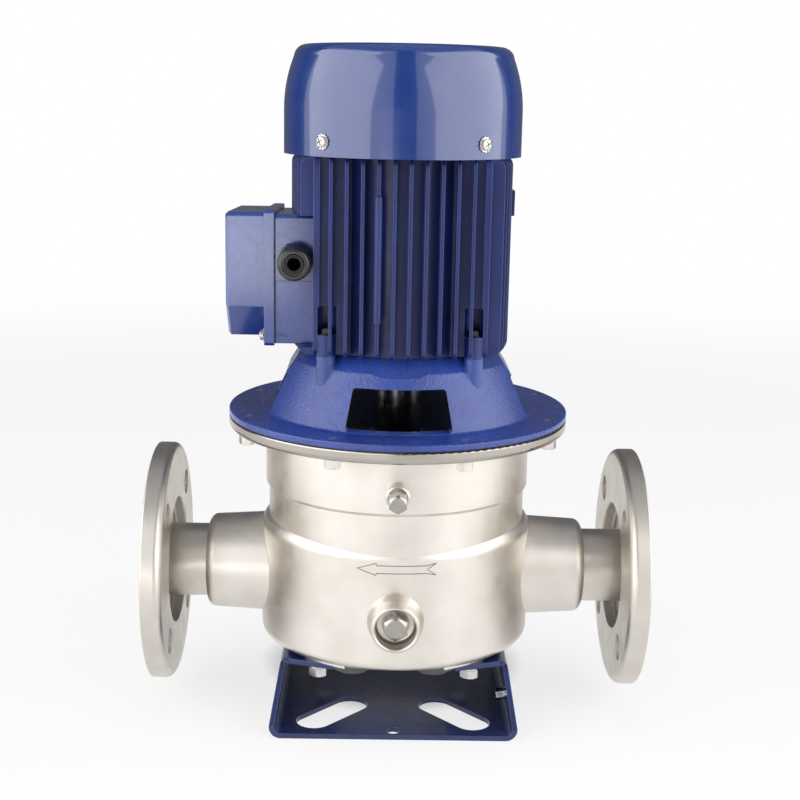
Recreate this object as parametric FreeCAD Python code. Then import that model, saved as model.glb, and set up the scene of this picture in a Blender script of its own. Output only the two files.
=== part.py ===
import FreeCAD, Part
import math
import os

V = FreeCAD.Vector

# Vertical in-line centrifugal pump: a stainless casing with two flanged ports, a cast lantern
# and a finned motor with its fan cowl and terminal box.
# Millimetres. The origin is on the floor, on the pump axis. +Z is up, the ports lie along X,
# the suction port is at +X and the vent and drain plugs face -Y.

# Base bracket, one folded sheet
sheet_t = 3.5
base_half_w = 84.5
base_depth = 160.0
base_bend_r = 8.0
base_h = 48.5
wall_top_half_w = 76.3
wall_top_half_y = 58.5
lip_inner_x = 41.0
lip_inner_half_y = 69.5
slot_w = 24.5
slot_near = (29.9, 32.2)
slot_far = (53.7, 58.9)
locating_hole_r = 5.0
locating_hole_y = 73.0
base_bolt_x = 51.0
base_bolt_y = 59.0
foot_pad_t = 2.5
foot_pad_x0 = 33.0
foot_pad_x1 = 60.0
foot_pad_r = 83.0
base_bolt_r = 4.0
base_bolt_af = 12.0
base_bolt_head = 6.0
base_bolt_spin = 20.0
base_washer_t = 1.8
base_washer_r = 6.8
earth_screw_r = 3.0
earth_screw_y = -42.0
earth_screw_z = 18.0
earth_washer_r = 4.0
earth_nut_af = 7.0
earth_screw_l = 7.0

# Casing, pressed bowl with a drawn neck and a bolting rim
bowl_half_x = 93.5
bowl_half_y = 88.6
bowl_top_z = 138.0
bowl_low_r = 6.0
bowl_top_r = 10.0
casing_t = 2.5
neck_r = 88.3
neck_step_z = 158.9
upper_r = 90.5
rim_w = 25.2
rim_t = 8.0
rim_top_z = 206.7
cover_seat_h = 5.0
cover_seat_step = 1.5

# Ports, both on one axis
port_z = 97.7
port_face_x = 167.1
pipe_r = 25.4
pipe_t = 1.5
port_root_margin = 13.5
sleeve_root_r = 35.2
sleeve_end_r = 32.3
sleeve_end_x = 130.5
sleeve_end_bend = 6.0
flange_r = 82.5
flange_t = 13.9
flange_pcd = 125.0
flange_hole_r = 9.0
flange_recess_r = 44.0
flange_web_t = 5.6
flange_hole_count = 4

# Vent and drain bosses on the front
boss_root = 12.0
vent_z = 173.0
vent_boss_r = 8.0
vent_boss_tip = 97.5
vent_plug_r = 4.5
vent_plug_af = 11.0
vent_plug_head = 15.5
vent_thread_l = 8.0
drain_z = 87.8
drain_boss_r = 15.8
drain_boss_tip = 106.0
drain_boss_root_r = 18.5
drain_cup_r = 13.2
drain_cup_depth = 12.0
drain_plug_r = 7.0
drain_plug_af = 15.0
drain_plug_head = 10.5
drain_thread_l = 9.0

# Wet end
cover_plate_t = 6.0
cover_neck_inset = 6.0
cover_spigot_l = 18.0
cover_floor_z = 168.0
cover_hub_t = 8.0
cover_hub_rise = 6.0
groove_depth = 2.0
groove_w = 3.6
seal_chamber_r = 17.0
seal_chamber_top_z = 184.0
pump_shaft_r = 8.0
impeller_r = 70.0
impeller_bore_r = 7.0
impeller_hub_r = 13.0
impeller_back_gap = 2.0
shroud_t = 3.0
outlet_w = 8.0
eye_r = 24.0
eye_neck_t = 3.0
blade_count = 6
blade_t = 2.4
blade_angle = 118.0
wear_gap = 0.2
wear_ring_t = 3.8
elbow_bend_r = 36.0
elbow_collar_h = 6.5
elbow_collar_t = 2.5
eye_drop = 14.0
hub_drop = 4.0
blade_root_gap = 5.0
seal_face_lift = 2.4
seal_seat_w = 5.0
seal_ring_w = 4.0
impeller_nut_l = 11.0
impeller_nut_r = 11.0
impeller_nut_af = 17.0
motor_key_w = 6.0
motor_key_half_h = 3.0
impeller_key_w = 5.0
impeller_key_half_h = 2.5
impeller_key_l = 14.0
screw_rows = (9.0, 21.0)
screw_angles = (-120.0, 150.0)
nut_thread_r = 5.0
coupling_screw_r = 2.5
lip_seal_w = 4.5
lip_seal_r = 15.0

# Lantern, the casting between casing and motor
gasket_t = 0.5
lantern_h = 48.8
lantern_flange_t = 4.7
lantern_foot_r = 93.0
lantern_waist_r = 75.5
lantern_top_r = 66.0
side_flat_drop = 17.4
side_flat_x = 75.6
side_flat_top_x = 63.5
face_flat_drop = 10.5
face_flat_y = 75.5
lantern_wall = 9.0
lantern_ring_h = 8.5
window_top_w = 59.0
window_low_w = 68.5
window_sill = 0.8
window_h = 26.0
ceiling_drop = 16.8
ceiling_wall = 13.0
boss_r = 6.2
boss_l = 19.5
boss_thread_l = 14.0
hub_wall = 8.5
locating_ring_w = 9.0
locating_ring_h = 3.0
rim_bolt_count = 8
rim_bolt_edge = 7.7
rim_bolt_r = 3.0
rim_bolt_af = 10.0
rim_bolt_head = 6.0

# Motor
frame_h = 126.0
stator_r = 60.0
frame_wall = 4.5
fin_pitch = 10.0
fin_count = 10
fin_t = 2.2
front_fin_reach = 74.0
front_fin_bow = 228.0
side_fin_reach = 73.2
side_fin_bow = 340.0
edge_wall_at = 54.0
edge_wall_t = 4.0
fin_corner_r = 5.5
lower_lug_x = 47.5
lower_lug_y = 57.5
upper_lug_x = 54.0
upper_lug_y = 40.0
lug_r = 6.0
lower_lug_h = 14.0
upper_lug_h = 16.0
frame_bolt_r = 2.5
frame_bolt_af = 8.0
frame_bolt_head = 3.5
spanner_r = 6.6
spanner_h = 18.0
shield_bolt_r = 2.5
shield_bolt_af = 8.0
shield_bolt_head = 3.5
rib_r = 2.5
rib_lift = 24.0
rib_l = 78.0
tab_t = 2.0
tab_half_y = 8.0
tab_lift = 87.5
tab_h = 16.5
cable_hole_r = 8.0
cable_hole_lift = 20.0
shield_r = 66.0
shield_t = 4.5
bearing_drop = 11.0
end_ring_l = 6.0
end_ring_bore_r = 20.0
winding_gap = 5.0
stack_l = 70.0
stack_lift = 27.0
air_gap = 0.6
rotor_r = 33.4
winding_l = 16.0
motor_shaft_r = 9.5
rotor_seat_r = 13.0

# Deep-groove ball bearings, both alike
bearing_bore_r = 10.0
bearing_r = 23.5
bearing_w = 14.0
ball_r = 3.9
ball_pitch_r = 16.75
ball_count = 8
wave_spring_h = 1.6

# Shaft coupling sleeve seen in the lantern window
sleeve_r = 16.0
sleeve_l = 42.0

# Fan and cowl
cowl_r = 78.7
cowl_h = 69.8
cowl_t = 1.5
cowl_gap = 0.4
cowl_straight = 30.0
cowl_top_flat_r = 63.0
cowl_draw = 6.4
cowl_bulge = 1.7
cowl_shoulder_h = 7.4
cowl_screw_lift = 9.4
cowl_screw_angle = 50.2
cowl_screw_r = 2.0
cowl_washer_r = 4.4
cowl_arm_half = 5.0
cowl_arm_half_h = 3.4
fan_r = 66.0
fan_h = 23.0
fan_blades = 8
fan_lift = 18.6
fan_bore_r = 9.0
fan_hub_r = 15.0
fan_sheet_t = 2.0
circlip_t = 1.2
grille_rings = 5
grille_spokes = 6
grille_slot_w = 4.5
grille_inner_r = 12.0
grille_edge = 3.0
grille_spoke_w = 5.0

# Terminal box on the left
box_half_y = 45.0
box_lift = 5.2
box_h = 84.0
box_top_fall = 3.0
box_top_cut = 2.4
box_rim_x = 81.2
box_wall = 3.0
box_gasket_t = 0.5
lid_lip_t = 6.7
lid_half_y = 47.0
lid_below = 1.4
lid_above = 2.8
dome_lift = 2.6
dome_above = 1.0
dome_cut_y = 17.0
dome_cut_z = 21.5
lid_face_x = 113.4
lid_wall = 2.5
dome_edge = 1.8
gland_x = 67.9
gland_drop = 29.5
gland_af = 22.0
board_half_h = 14.0
board_half_y = 20.0
board_t = 8.0
stud_nut_af = 7.0
stud_nut_h = 3.2
stud_sunk = 6.0
stud_out = 9.0
box_corner = 1.0
box_step_h = 41.0
box_step_t = 0.8
lid_boss_r = 4.5
lid_screw_l = 8.0
lid_washer_r = 4.0
lid_head_r = 3.4
lid_head_h = 3.6
seal_steps = (5.5, 4.5)
stud_r = 2.0
stud_pitch_y = 12.0
stud_row_z = 8.0
lid_screw_r = 2.0
lid_screw_inset = 3.0
lid_screw_lift = 5.2
gland_thread_r = 8.8
gland_spin = 10.0
gland_round_r = 11.7
gland_hex_l = 7.0
gland_bore_r = 6.5
gland_tip = 25.0
gland_skirt_l = 10.0
gland_dome_r = 10.4
gland_lip_r = 7.6
seal_bore_r = 4.2

# Turn of a hexagon that brings a flat to where its corner would be
flat_turn = 30.0

# Clearances
slip = 0.2
running = 0.05
bolt_slack = 0.5

# Derived heights
bowl_floor_z = base_h + foot_pad_t
rim_base_z = rim_top_z - rim_t
lantern_z = rim_top_z + gasket_t
frame_z = lantern_z + lantern_h
frame_top_z = frame_z + frame_h
cowl_z = frame_top_z + cowl_gap
cowl_top_z = cowl_z + cowl_h
bore_r = upper_r - casing_t
rim_r = upper_r + rim_w
cover_seat_r = upper_r + cover_seat_step
rim_bolt_pcd = 2 * (rim_r - rim_bolt_edge)
box_low_z = frame_z + box_lift
box_high_z = box_low_z + box_h
lid_low_z = box_low_z - lid_below
lid_high_z = box_high_z + lid_above
dome_low_z = box_low_z + dome_lift
dome_high_z = box_high_z + dome_above
gland_z = box_high_z - gland_drop
box_back_x = edge_wall_at + edge_wall_t / 2


def unit(vector):
    return vector * (1.0 / vector.Length)


def outline(points):
    """Closed wire in the XZ plane. A point (x, z, r) has its corner rounded to radius r."""
    spots = [V(p[0], 0, p[1]) for p in points]
    radii = [p[2] if len(p) > 2 else 0.0 for p in points]
    corners = []
    for i, here in enumerate(spots):
        if radii[i] <= 0.0:
            corners.append((here, None, here))
            continue
        back = unit(spots[i - 1] - here)
        ahead = unit(spots[(i + 1) % len(spots)] - here)
        half = back.getAngle(ahead) / 2.0
        reach = radii[i] / math.tan(half)
        middle = here + unit(back + ahead) * (radii[i] / math.sin(half) - radii[i])
        corners.append((here + back * reach, middle, here + ahead * reach))
    edges = []
    for i, (start, middle, stop) in enumerate(corners):
        if middle is not None:
            edges.append(Part.Arc(start, middle, stop).toShape())
        following = corners[(i + 1) % len(corners)][0]
        if (following - stop).Length > 1e-6:
            edges.append(Part.LineSegment(stop, following).toShape())
    return Part.Wire(edges)


def turned(points):
    """Solid of revolution about Z from an outline of (radius, height)."""
    return Part.Face(outline(points)).revolve(V(0, 0, 0), V(0, 0, 1), 360)


def turned_on_port(points):
    """Solid of revolution about the port axis, from an outline of (x, radius)."""
    solid = Part.Face(outline(points)).revolve(V(0, 0, 0), V(1, 0, 0), 360)
    solid.translate(V(0, 0, port_z))
    return solid


def cylinder(radius, low, high, x=0.0, y=0.0):
    return Part.makeCylinder(radius, high - low, V(x, y, low), V(0, 0, 1))


def ring(inner, outer, low, high, x=0.0, y=0.0):
    return cylinder(outer, low, high, x, y).cut(cylinder(inner, low - 1, high + 1, x, y))


def rod(radius, start, stop):
    """Cylinder between two points."""
    path = stop - start
    return Part.makeCylinder(radius, path.Length, start, path)


def block(x0, x1, y0, y1, z0, z1):
    return Part.makeBox(x1 - x0, y1 - y0, z1 - z0, V(x0, y0, z0))


def plate_y(points, y0, y1):
    """Prism along Y from an outline in (x, z)."""
    face = Part.Face(outline(points))
    face.translate(V(0, y0, 0))
    return face.extrude(V(0, y1 - y0, 0))


def plan_prism(points, low, high):
    """Prism along Z from a polygon in (x, y)."""
    spots = [V(x, y, low) for x, y in points]
    return Part.Face(Part.makePolygon(spots + [spots[0]])).extrude(V(0, 0, high - low))


def hexagon(across_flats, start, stop, spin=0.0):
    """Hexagonal prism between two points."""
    path = stop - start
    corner = across_flats / math.sqrt(3.0)
    spots = []
    for i in range(6):
        turn = math.radians(60.0 * i + spin)
        spots.append(V(corner * math.cos(turn), corner * math.sin(turn), 0))
    prism = Part.Face(Part.makePolygon(spots + [spots[0]])).extrude(V(0, 0, path.Length))
    prism.Placement = FreeCAD.Placement(start, FreeCAD.Rotation(V(0, 0, 1), path))
    return prism


def fused(shapes):
    whole = shapes[0].multiFuse(shapes[1:]) if len(shapes) > 1 else shapes[0]
    return whole.removeSplitter()


def edges_at(shape, height, tolerance=0.01):
    """Edges that lie wholly at one height."""
    found = []
    for edge in shape.Edges:
        box = edge.BoundBox
        if abs(box.ZMin - height) < tolerance and abs(box.ZMax - height) < tolerance:
            found.append(edge)
    return found


def mirrored_x(shape):
    return shape.mirror(V(0, 0, 0), V(1, 0, 0))


def around(shape, count, first=0.0):
    """Copies of a shape turned about the pump axis."""
    copies = []
    for i in range(count):
        copy = shape.copy()
        copy.rotate(V(0, 0, 0), V(0, 0, 1), first + 360.0 * i / count)
        copies.append(copy)
    return copies


def corners_of(x, y):
    return [(sx * x, sy * y) for sx in (-1, 1) for sy in (-1, 1)]


def save(name, shape):
    shape = shape.Solids[0] if len(shape.Solids) == 1 else Part.makeCompound(shape.Solids)
    if not shape.isValid():
        print("not valid:", name)
    shape.exportStep(os.path.join("parts", name + ".step"))


# Base bracket

def wall_slope():
    """Sideways lean of the bracket's walls for each millimetre of height."""
    return (base_half_w - wall_top_half_w) / base_h


def base_bracket():
    lean = math.atan(wall_slope())
    lip_z = base_h
    inner_floor = base_half_w - sheet_t * (1.0 / math.cos(lean) + math.tan(lean))
    inner_top = wall_top_half_w - sheet_t * (1.0 / math.cos(lean) - math.tan(lean))
    bend_inner = base_bend_r - sheet_t
    lip_bend = sheet_t + 2.0
    right = [(base_half_w, 0, base_bend_r), (wall_top_half_w, lip_z, lip_bend), (lip_inner_x, lip_z),
             (lip_inner_x, lip_z - sheet_t), (inner_top, lip_z - sheet_t, lip_bend - sheet_t),
             (inner_floor, sheet_t, bend_inner)]
    left = [(-p[0],) + p[1:] for p in reversed(right)]
    bracket = plate_y(right + left, -base_depth / 2, base_depth / 2)
    edge = base_depth / 2
    knee = base_bend_r
    for sx, sy in corners_of(1, 1):
        side = [(edge + 1, knee), (edge, knee), (wall_top_half_y, lip_z), (wall_top_half_y, lip_z + 1),
                (edge + 1, lip_z + 1)]
        face = Part.makePolygon([V(0, sy * y, z) for y, z in side + side[:1]])
        wedge = Part.Face(face).extrude(V(sx * 2 * base_bend_r, 0, 0))
        wedge.translate(V(sx * (wall_top_half_w - lip_bend), 0, 0))
        plan = [(lip_inner_x - 1, edge + 1), (lip_inner_x - 1, lip_inner_half_y),
                (lip_inner_x, lip_inner_half_y), (wall_top_half_w, wall_top_half_y),
                (wall_top_half_w, edge + 1)]
        lip_cut = plan_prism([(sx * x, sy * y) for x, y in plan], lip_z - sheet_t - 0.5, lip_z + 1)
        bracket = bracket.cut(wedge).cut(lip_cut)
    for sx, sy in corners_of(1, 1):
        near = (sx * slot_near[0], sy * slot_near[1])
        far = (sx * slot_far[0], sy * slot_far[1])
        run = unit(V(far[0] - near[0], far[1] - near[1], 0))
        side = V(-run.y, run.x, 0) * (slot_w / 2)
        strip = plan_prism([(near[0] + side.x, near[1] + side.y), (far[0] + side.x, far[1] + side.y),
                            (far[0] - side.x, far[1] - side.y), (near[0] - side.x, near[1] - side.y)],
                           -1, sheet_t + 1)
        for x, y in (near, far):
            strip = strip.fuse(cylinder(slot_w / 2, -1, sheet_t + 1, x, y))
        bracket = bracket.cut(strip)
    for y in (-locating_hole_y, locating_hole_y):
        bracket = bracket.cut(cylinder(locating_hole_r, -1, sheet_t + 1, 0, y))
    for x, y in corners_of(base_bolt_x, base_bolt_y):
        bracket = bracket.cut(cylinder(base_bolt_r + bolt_slack, lip_z - sheet_t - 1, lip_z + 1, x, y))
    start, inward = earth_screw_seat()
    bracket = bracket.cut(rod(earth_screw_r + slip, start - inward * 3 * sheet_t, start + inward * 5.0))
    return bracket


def foot_pads():
    """Two strips welded under the bowl, tapped for the bolts of the bracket."""
    strip = block(foot_pad_x0, foot_pad_x1, -foot_pad_r, foot_pad_r, base_h, bowl_floor_z)
    strip = strip.common(cylinder(foot_pad_r, base_h, bowl_floor_z))
    strips = strip.fuse(mirrored_x(strip))
    for x, y in corners_of(base_bolt_x, base_bolt_y):
        strips = strips.cut(cylinder(base_bolt_r, base_h - 1, bowl_floor_z + 1, x, y))
    return strips


def base_bolts():
    solids = []
    lip_low = base_h - sheet_t
    head_top = lip_low - base_washer_t
    for x, y in corners_of(base_bolt_x, base_bolt_y):
        washer = ring(base_bolt_r + bolt_slack, base_washer_r, head_top, lip_low, x, y)
        head = hexagon(base_bolt_af, V(x, y, head_top - base_bolt_head), V(x, y, head_top), base_bolt_spin)
        shank = cylinder(base_bolt_r, head_top - 0.5, bowl_floor_z - slip, x, y)
        solids.append(washer)
        solids.append(fused([head, shank]))
    return Part.makeCompound(solids)


def earth_screw_seat():
    """Point on the right wall's inner face, and the direction into the bracket."""
    lean = math.atan(wall_slope())
    x = base_half_w - wall_slope() * earth_screw_z - sheet_t / math.cos(lean)
    inward = V(-math.cos(lean), 0, -math.sin(lean))
    return V(x, earth_screw_y, earth_screw_z), inward


def earth_screw():
    start, inward = earth_screw_seat()
    washer = rod(earth_washer_r, start, start + inward * 1.5)
    head = hexagon(earth_nut_af, start + inward * 1.0, start + inward * earth_screw_l, 15.0)
    shank = rod(earth_screw_r, start - inward * (sheet_t - slip), start + inward * 1.0)
    return fused([washer, head, shank])


# Casing

def bowl_body(inset, low, high, low_r, top_r):
    """Slightly oval bowl with rounded lower and upper edges."""
    oval = Part.Ellipse(V(0, 0, low), bowl_half_x - inset, bowl_half_y - inset)
    solid = Part.Face(Part.Wire(oval.toShape())).extrude(V(0, 0, high - low))
    solid = solid.makeFillet(low_r, edges_at(solid, low))
    return solid.makeFillet(top_r, edges_at(solid, high))


def casing_outside():
    half_step = (upper_r - neck_r) / 2.0
    start = bowl_top_z - 2 * bowl_top_r
    stem = turned([(0, start), (neck_r, start), (neck_r, neck_step_z - half_step),
                   (upper_r, neck_step_z + half_step), (upper_r, rim_base_z, 2.5),
                   (rim_r, rim_base_z, 3.5), (rim_r, rim_top_z, 1.0), (0, rim_top_z)])
    return bowl_body(0, bowl_floor_z, bowl_top_z, bowl_low_r, bowl_top_r).fuse(stem)


def casing_inside():
    half_step = (upper_r - neck_r) / 2.0
    start = bowl_top_z - 2 * bowl_top_r
    stem = turned([(0, start), (neck_r - casing_t, start), (neck_r - casing_t, neck_step_z - half_step),
                   (bore_r, neck_step_z + half_step), (bore_r, rim_top_z + 1), (0, rim_top_z + 1)])
    bowl = bowl_body(casing_t, bowl_floor_z + casing_t, bowl_top_z - casing_t,
                     bowl_low_r - casing_t, bowl_top_r - casing_t)
    return bowl.fuse(stem)


def pump_casing():
    shell = casing_outside().cut(casing_inside())
    inside = neck_r / 2
    outside = bowl_half_x + port_root_margin
    shell = shell.cut(rod(pipe_r + slip, V(inside, 0, port_z), V(outside, 0, port_z)))
    shell = shell.cut(rod(sleeve_end_r - casing_t, V(-inside, 0, port_z), V(-outside, 0, port_z)))
    shell = shell.cut(rod(vent_plug_r, V(0, -inside, vent_z), V(0, -outside, vent_z)))
    shell = shell.cut(rod(drain_plug_r, V(0, -inside, drain_z), V(0, -outside, drain_z)))
    shell = shell.cut(cylinder(cover_seat_r, rim_top_z - cover_seat_h, rim_top_z + 1))
    hole = cylinder(rim_bolt_r + bolt_slack, rim_base_z - 1, rim_top_z + 1, rim_bolt_pcd / 2, 0)
    for copy in around(hole, rim_bolt_count, 180.0 / rim_bolt_count):
        shell = shell.cut(copy)
    return shell


# Ports

def port_sleeve():
    """Drawn reducer from the bowl to the pipe, with its saddle end on the bowl."""
    inner_root = sleeve_root_r - casing_t
    inner_end = sleeve_end_r - casing_t
    lip = pipe_r + slip
    root = bowl_half_x - port_root_margin
    sleeve = turned_on_port([(root, sleeve_root_r), (sleeve_end_x, sleeve_end_r, sleeve_end_bend),
                             (sleeve_end_x, lip), (sleeve_end_x - casing_t, lip),
                             (sleeve_end_x - casing_t, inner_end, sleeve_end_bend - casing_t),
                             (root, inner_root)])
    return sleeve.cut(bowl_body(0, bowl_floor_z, bowl_top_z, bowl_low_r, bowl_top_r))


def port_pipe():
    start = sleeve_end_x - 2 * casing_t
    stop = port_face_x - 1.0
    inner = pipe_r - pipe_t
    return turned_on_port([(start, inner), (start, pipe_r), (stop, pipe_r), (stop, inner)])


def port_flange():
    back = port_face_x - flange_t
    web = port_face_x - flange_web_t
    bore = pipe_r + slip
    disc = turned_on_port([(back, flange_recess_r, 1.0), (back, flange_r, 5.0), (port_face_x, flange_r, 1.0),
                           (port_face_x, bore), (web, bore), (web, flange_recess_r, 2.0)])
    for i in range(flange_hole_count):
        turn = math.radians((i + 0.5) * 360.0 / flange_hole_count)
        y = flange_pcd / 2 * math.cos(turn)
        z = port_z + flange_pcd / 2 * math.sin(turn)
        disc = disc.cut(rod(flange_hole_r, V(back - 1, y, z), V(port_face_x + 1, y, z)))
    return disc


def turned_on_front(points, height):
    """Solid of revolution about a line along Y, from an outline of (radius, distance to the front)."""
    solid = turned(points)
    solid.rotate(V(0, 0, 0), V(1, 0, 0), 90)
    solid.translate(V(0, 0, height))
    return solid


def casing_bosses():
    """Vent boss, a plain collar, and drain boss, a cup with its plug inside, both fitted to the casing."""
    hull = casing_outside()
    root = bowl_half_y - boss_root
    vent = turned_on_front([(vent_plug_r, root), (vent_boss_r, root), (vent_boss_r, vent_boss_tip, 1.6),
                            (vent_plug_r, vent_boss_tip)], vent_z)
    cup_floor = drain_boss_tip - drain_cup_depth
    skirt = bowl_half_y + 2.0
    drain = turned_on_front([(drain_plug_r, root), (drain_boss_root_r, root), (drain_boss_root_r, skirt, 2.0),
                             (drain_boss_r, skirt + 5.0, 4.0), (drain_boss_r, drain_boss_tip, 1.2),
                             (drain_cup_r, drain_boss_tip, 1.2), (drain_cup_r, cup_floor, 2.0),
                             (drain_plug_r, cup_floor)], drain_z)
    return Part.makeCompound([vent.cut(hull), drain.cut(hull)])


def screw_plug(z, seat_y, thread_r, across_flats, head_l, thread_l):
    """Hexagon plug with a collar and a broad chamfer round its end."""
    seat = V(0, -seat_y, z)
    out = V(0, -1, 0)
    collar = rod(across_flats * 0.6, seat, seat + out * 1.5)
    head = hexagon(across_flats, seat + out * 1.0, seat + out * head_l, flat_turn)
    corner = across_flats * 0.58
    chamfer = 0.18 * across_flats
    crown = turned_on_front([(0, seat_y), (corner, seat_y), (corner, seat_y + head_l - 0.6 * chamfer),
                             (corner - chamfer, seat_y + head_l), (0, seat_y + head_l)], z)
    thread = rod(thread_r, seat - out * thread_l, seat + out * 0.5)
    return fused([collar, head.common(crown), thread])


def vent_plug():
    return screw_plug(vent_z, vent_boss_tip, vent_plug_r, vent_plug_af, vent_plug_head, vent_thread_l)


def drain_plug():
    seat_y = drain_boss_tip - drain_cup_depth
    return screw_plug(drain_z, seat_y, drain_plug_r, drain_plug_af, drain_plug_head, drain_thread_l)


# Wet end

def elbow_top_z():
    return port_z + elbow_bend_r


def suction_elbow():
    """Bent tube from the suction port to a collar round the impeller's eye."""
    centre = V(elbow_bend_r, 0, port_z)
    end = bowl_half_x + 1.5

    def bent(radius, overrun):
        straight = rod(radius, centre, V(end + overrun, 0, port_z))
        disc = Part.Face(Part.Wire(Part.makeCircle(radius, centre, V(1, 0, 0))))
        pivot = V(elbow_bend_r, 0, port_z + elbow_bend_r)
        quarter = disc.revolve(pivot, V(0, 1, 0), 90)
        return straight.fuse(quarter)

    collar_r = wear_bore_r() + wear_ring_t + slip
    top = impeller_eye_z() + elbow_collar_h
    low = elbow_top_z()
    outer = bent(pipe_r, 0).fuse(cylinder(collar_r + elbow_collar_t, low - 0.5, top))
    inner = bent(pipe_r - pipe_t, 1).fuse(cylinder(collar_r, low + 2.0, top + 1))
    inner = inner.fuse(cylinder(pipe_r - pipe_t, low - 1, low + 3))
    return outer.cut(inner).removeSplitter()


def back_shroud_z():
    return cover_floor_z - impeller_back_gap


def impeller_eye_z():
    """Lower edge of the impeller's eye."""
    return back_shroud_z() - shroud_t - outlet_w - shroud_t - eye_drop


def wear_bore_r():
    return eye_r + eye_neck_t + wear_gap


def wear_ring():
    low = elbow_top_z() + 2.0
    return ring(wear_bore_r(), wear_bore_r() + wear_ring_t, low, impeller_eye_z() + elbow_collar_h - 0.5)


def impeller():
    """Closed impeller: hub, back shroud, swept blades and a conical front shroud with its eye."""
    top = back_shroud_z()
    under = top - shroud_t
    rim_low = under - outlet_w
    eye_low = impeller_eye_z()
    neck_r_out = eye_r + eye_neck_t
    cone_z = rim_low - 6.0
    hub_low = impeller_hub_low_z()
    body = turned([(impeller_bore_r, hub_low), (impeller_hub_r - 1.5, hub_low, 1.0),
                   (impeller_hub_r, under - 2.0, 4.0), (impeller_hub_r + 8.0, under, 6.0),
                   (impeller_r, under), (impeller_r, top),
                   (impeller_hub_r, top, 1.0), (impeller_hub_r, seal_face_low_z()),
                   (impeller_bore_r, seal_face_low_z())])
    front = turned([(eye_r, eye_low), (neck_r_out, eye_low), (neck_r_out, cone_z - shroud_t, 2.5),
                    (impeller_r, rim_low - shroud_t), (impeller_r, rim_low), (eye_r + 6.0, cone_z, 6.0),
                    (eye_r, cone_z - 6.0)])
    channel = turned([(impeller_hub_r - 1.0, top - 0.5), (impeller_hub_r - 1.0, cone_z - 2.0),
                      (eye_r + 1.0, cone_z - 2.0), (impeller_r, rim_low - 0.5), (impeller_r, top - 0.5)])
    start_r = impeller_hub_r + blade_root_gap
    blade = curved_blade(start_r, impeller_r + 1.0, cone_z - 3.0, top - 0.5)
    blades = [copy.common(channel) for copy in around(blade, blade_count)]
    return fused([body, front] + blades).cut(impeller_key_block())


def curved_blade(start_r, end_r, low, high):
    """Backward-swept blade whose angle grows evenly with the logarithm of the radius."""
    steps = 5
    centre = []
    for i in range(steps + 1):
        share = i / steps
        radius = start_r * (end_r / start_r) ** share
        turn = math.radians(blade_angle) * share
        centre.append(V(radius * math.cos(turn), radius * math.sin(turn), low))
    flow = Part.BSplineCurve()
    flow.interpolate(centre)
    first, last = flow.FirstParameter, flow.LastParameter
    sides = []
    for sign in (1, -1):
        spots = []
        for i in range(steps + 1):
            at = first + (last - first) * i / steps
            along = flow.tangent(at)[0]
            across = unit(V(-along.y, along.x, 0))
            spots.append(flow.value(at) + across * (sign * blade_t / 2))
        curve = Part.BSplineCurve()
        curve.interpolate(spots)
        sides.append((curve.toShape(), spots[0], spots[-1]))
    (one, a0, a1), (two, b0, b1) = sides
    wire = Part.Wire([one, Part.makeLine(a1, b1), two, Part.makeLine(b0, a0)])
    return Part.Face(wire).extrude(V(0, 0, high - low))


def impeller_hub_low_z():
    return back_shroud_z() - shroud_t - outlet_w - hub_drop


def seal_face_low_z():
    """Top of the impeller hub, where the shaft seal's bellows stands."""
    return cover_floor_z + seal_face_lift


def impeller_nut():
    top = impeller_hub_low_z()
    flange = ring(nut_thread_r, impeller_nut_r, top - 2.0, top)
    body = hexagon(impeller_nut_af, V(0, 0, top - impeller_nut_l), V(0, 0, top - 1.5))
    cap = Part.makeSphere(impeller_nut_l + 1.5, V(0, 0, top - 1.5)).common(body)
    whole = cap.cut(cylinder(nut_thread_r, top - impeller_nut_l + 2.0, top + 1))
    return fused([flange, whole])


def pump_shaft():
    """Stub shaft: threaded end, impeller seat, seal seat and the sleeve that takes the motor shaft."""
    seat_low = impeller_hub_low_z()
    sleeve_low = sleeve_top_z() - sleeve_l
    thread_low = seat_low - impeller_nut_l + 2.5
    shaft = turned([(0, thread_low), (nut_thread_r, thread_low, 1.0), (nut_thread_r, seat_low),
                    (impeller_bore_r, seat_low), (impeller_bore_r, seal_face_low_z()),
                    (pump_shaft_r, seal_face_low_z()), (pump_shaft_r, sleeve_low - 3.0, 2.0),
                    (sleeve_r, sleeve_low, 1.5), (sleeve_r, sleeve_top_z(), 1.5), (0, sleeve_top_z())])
    shaft = shaft.cut(cylinder(motor_shaft_r + running / 2, sleeve_low + 3.0, sleeve_top_z() + 1))
    shaft = shaft.cut(motor_key_block())
    shaft = shaft.cut(impeller_key_block())
    for tip in coupling_screw_spots():
        shaft = shaft.cut(rod(coupling_screw_r, V(0, 0, tip.z), tip + V(tip.x, tip.y, 0)))
    return shaft


def sleeve_top_z():
    """Top of the coupling sleeve, just under the lantern's hub."""
    return hub_low_z() - 1.0


def hub_low_z():
    return bearing_low_z() - lip_seal_w


def bearing_low_z():
    return frame_z - bearing_w - 0.8


def coupling_screw_spots():
    spots = []
    for drop in screw_rows:
        for angle in screw_angles:
            turn = math.radians(angle)
            spots.append(V(sleeve_r * math.cos(turn), sleeve_r * math.sin(turn), sleeve_top_z() - drop))
    return spots


def coupling_screws():
    solids = []
    for tip in coupling_screw_spots():
        axis = unit(V(tip.x, tip.y, 0))
        start = V(0, 0, tip.z) + axis * motor_shaft_r
        screw = rod(coupling_screw_r, start + axis * running, start + axis * (sleeve_r - motor_shaft_r - 0.6))
        socket = hexagon(2.5, start + axis * 3.0, start + axis * sleeve_r)
        solids.append(screw.cut(socket))
    return Part.makeCompound(solids)


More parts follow.
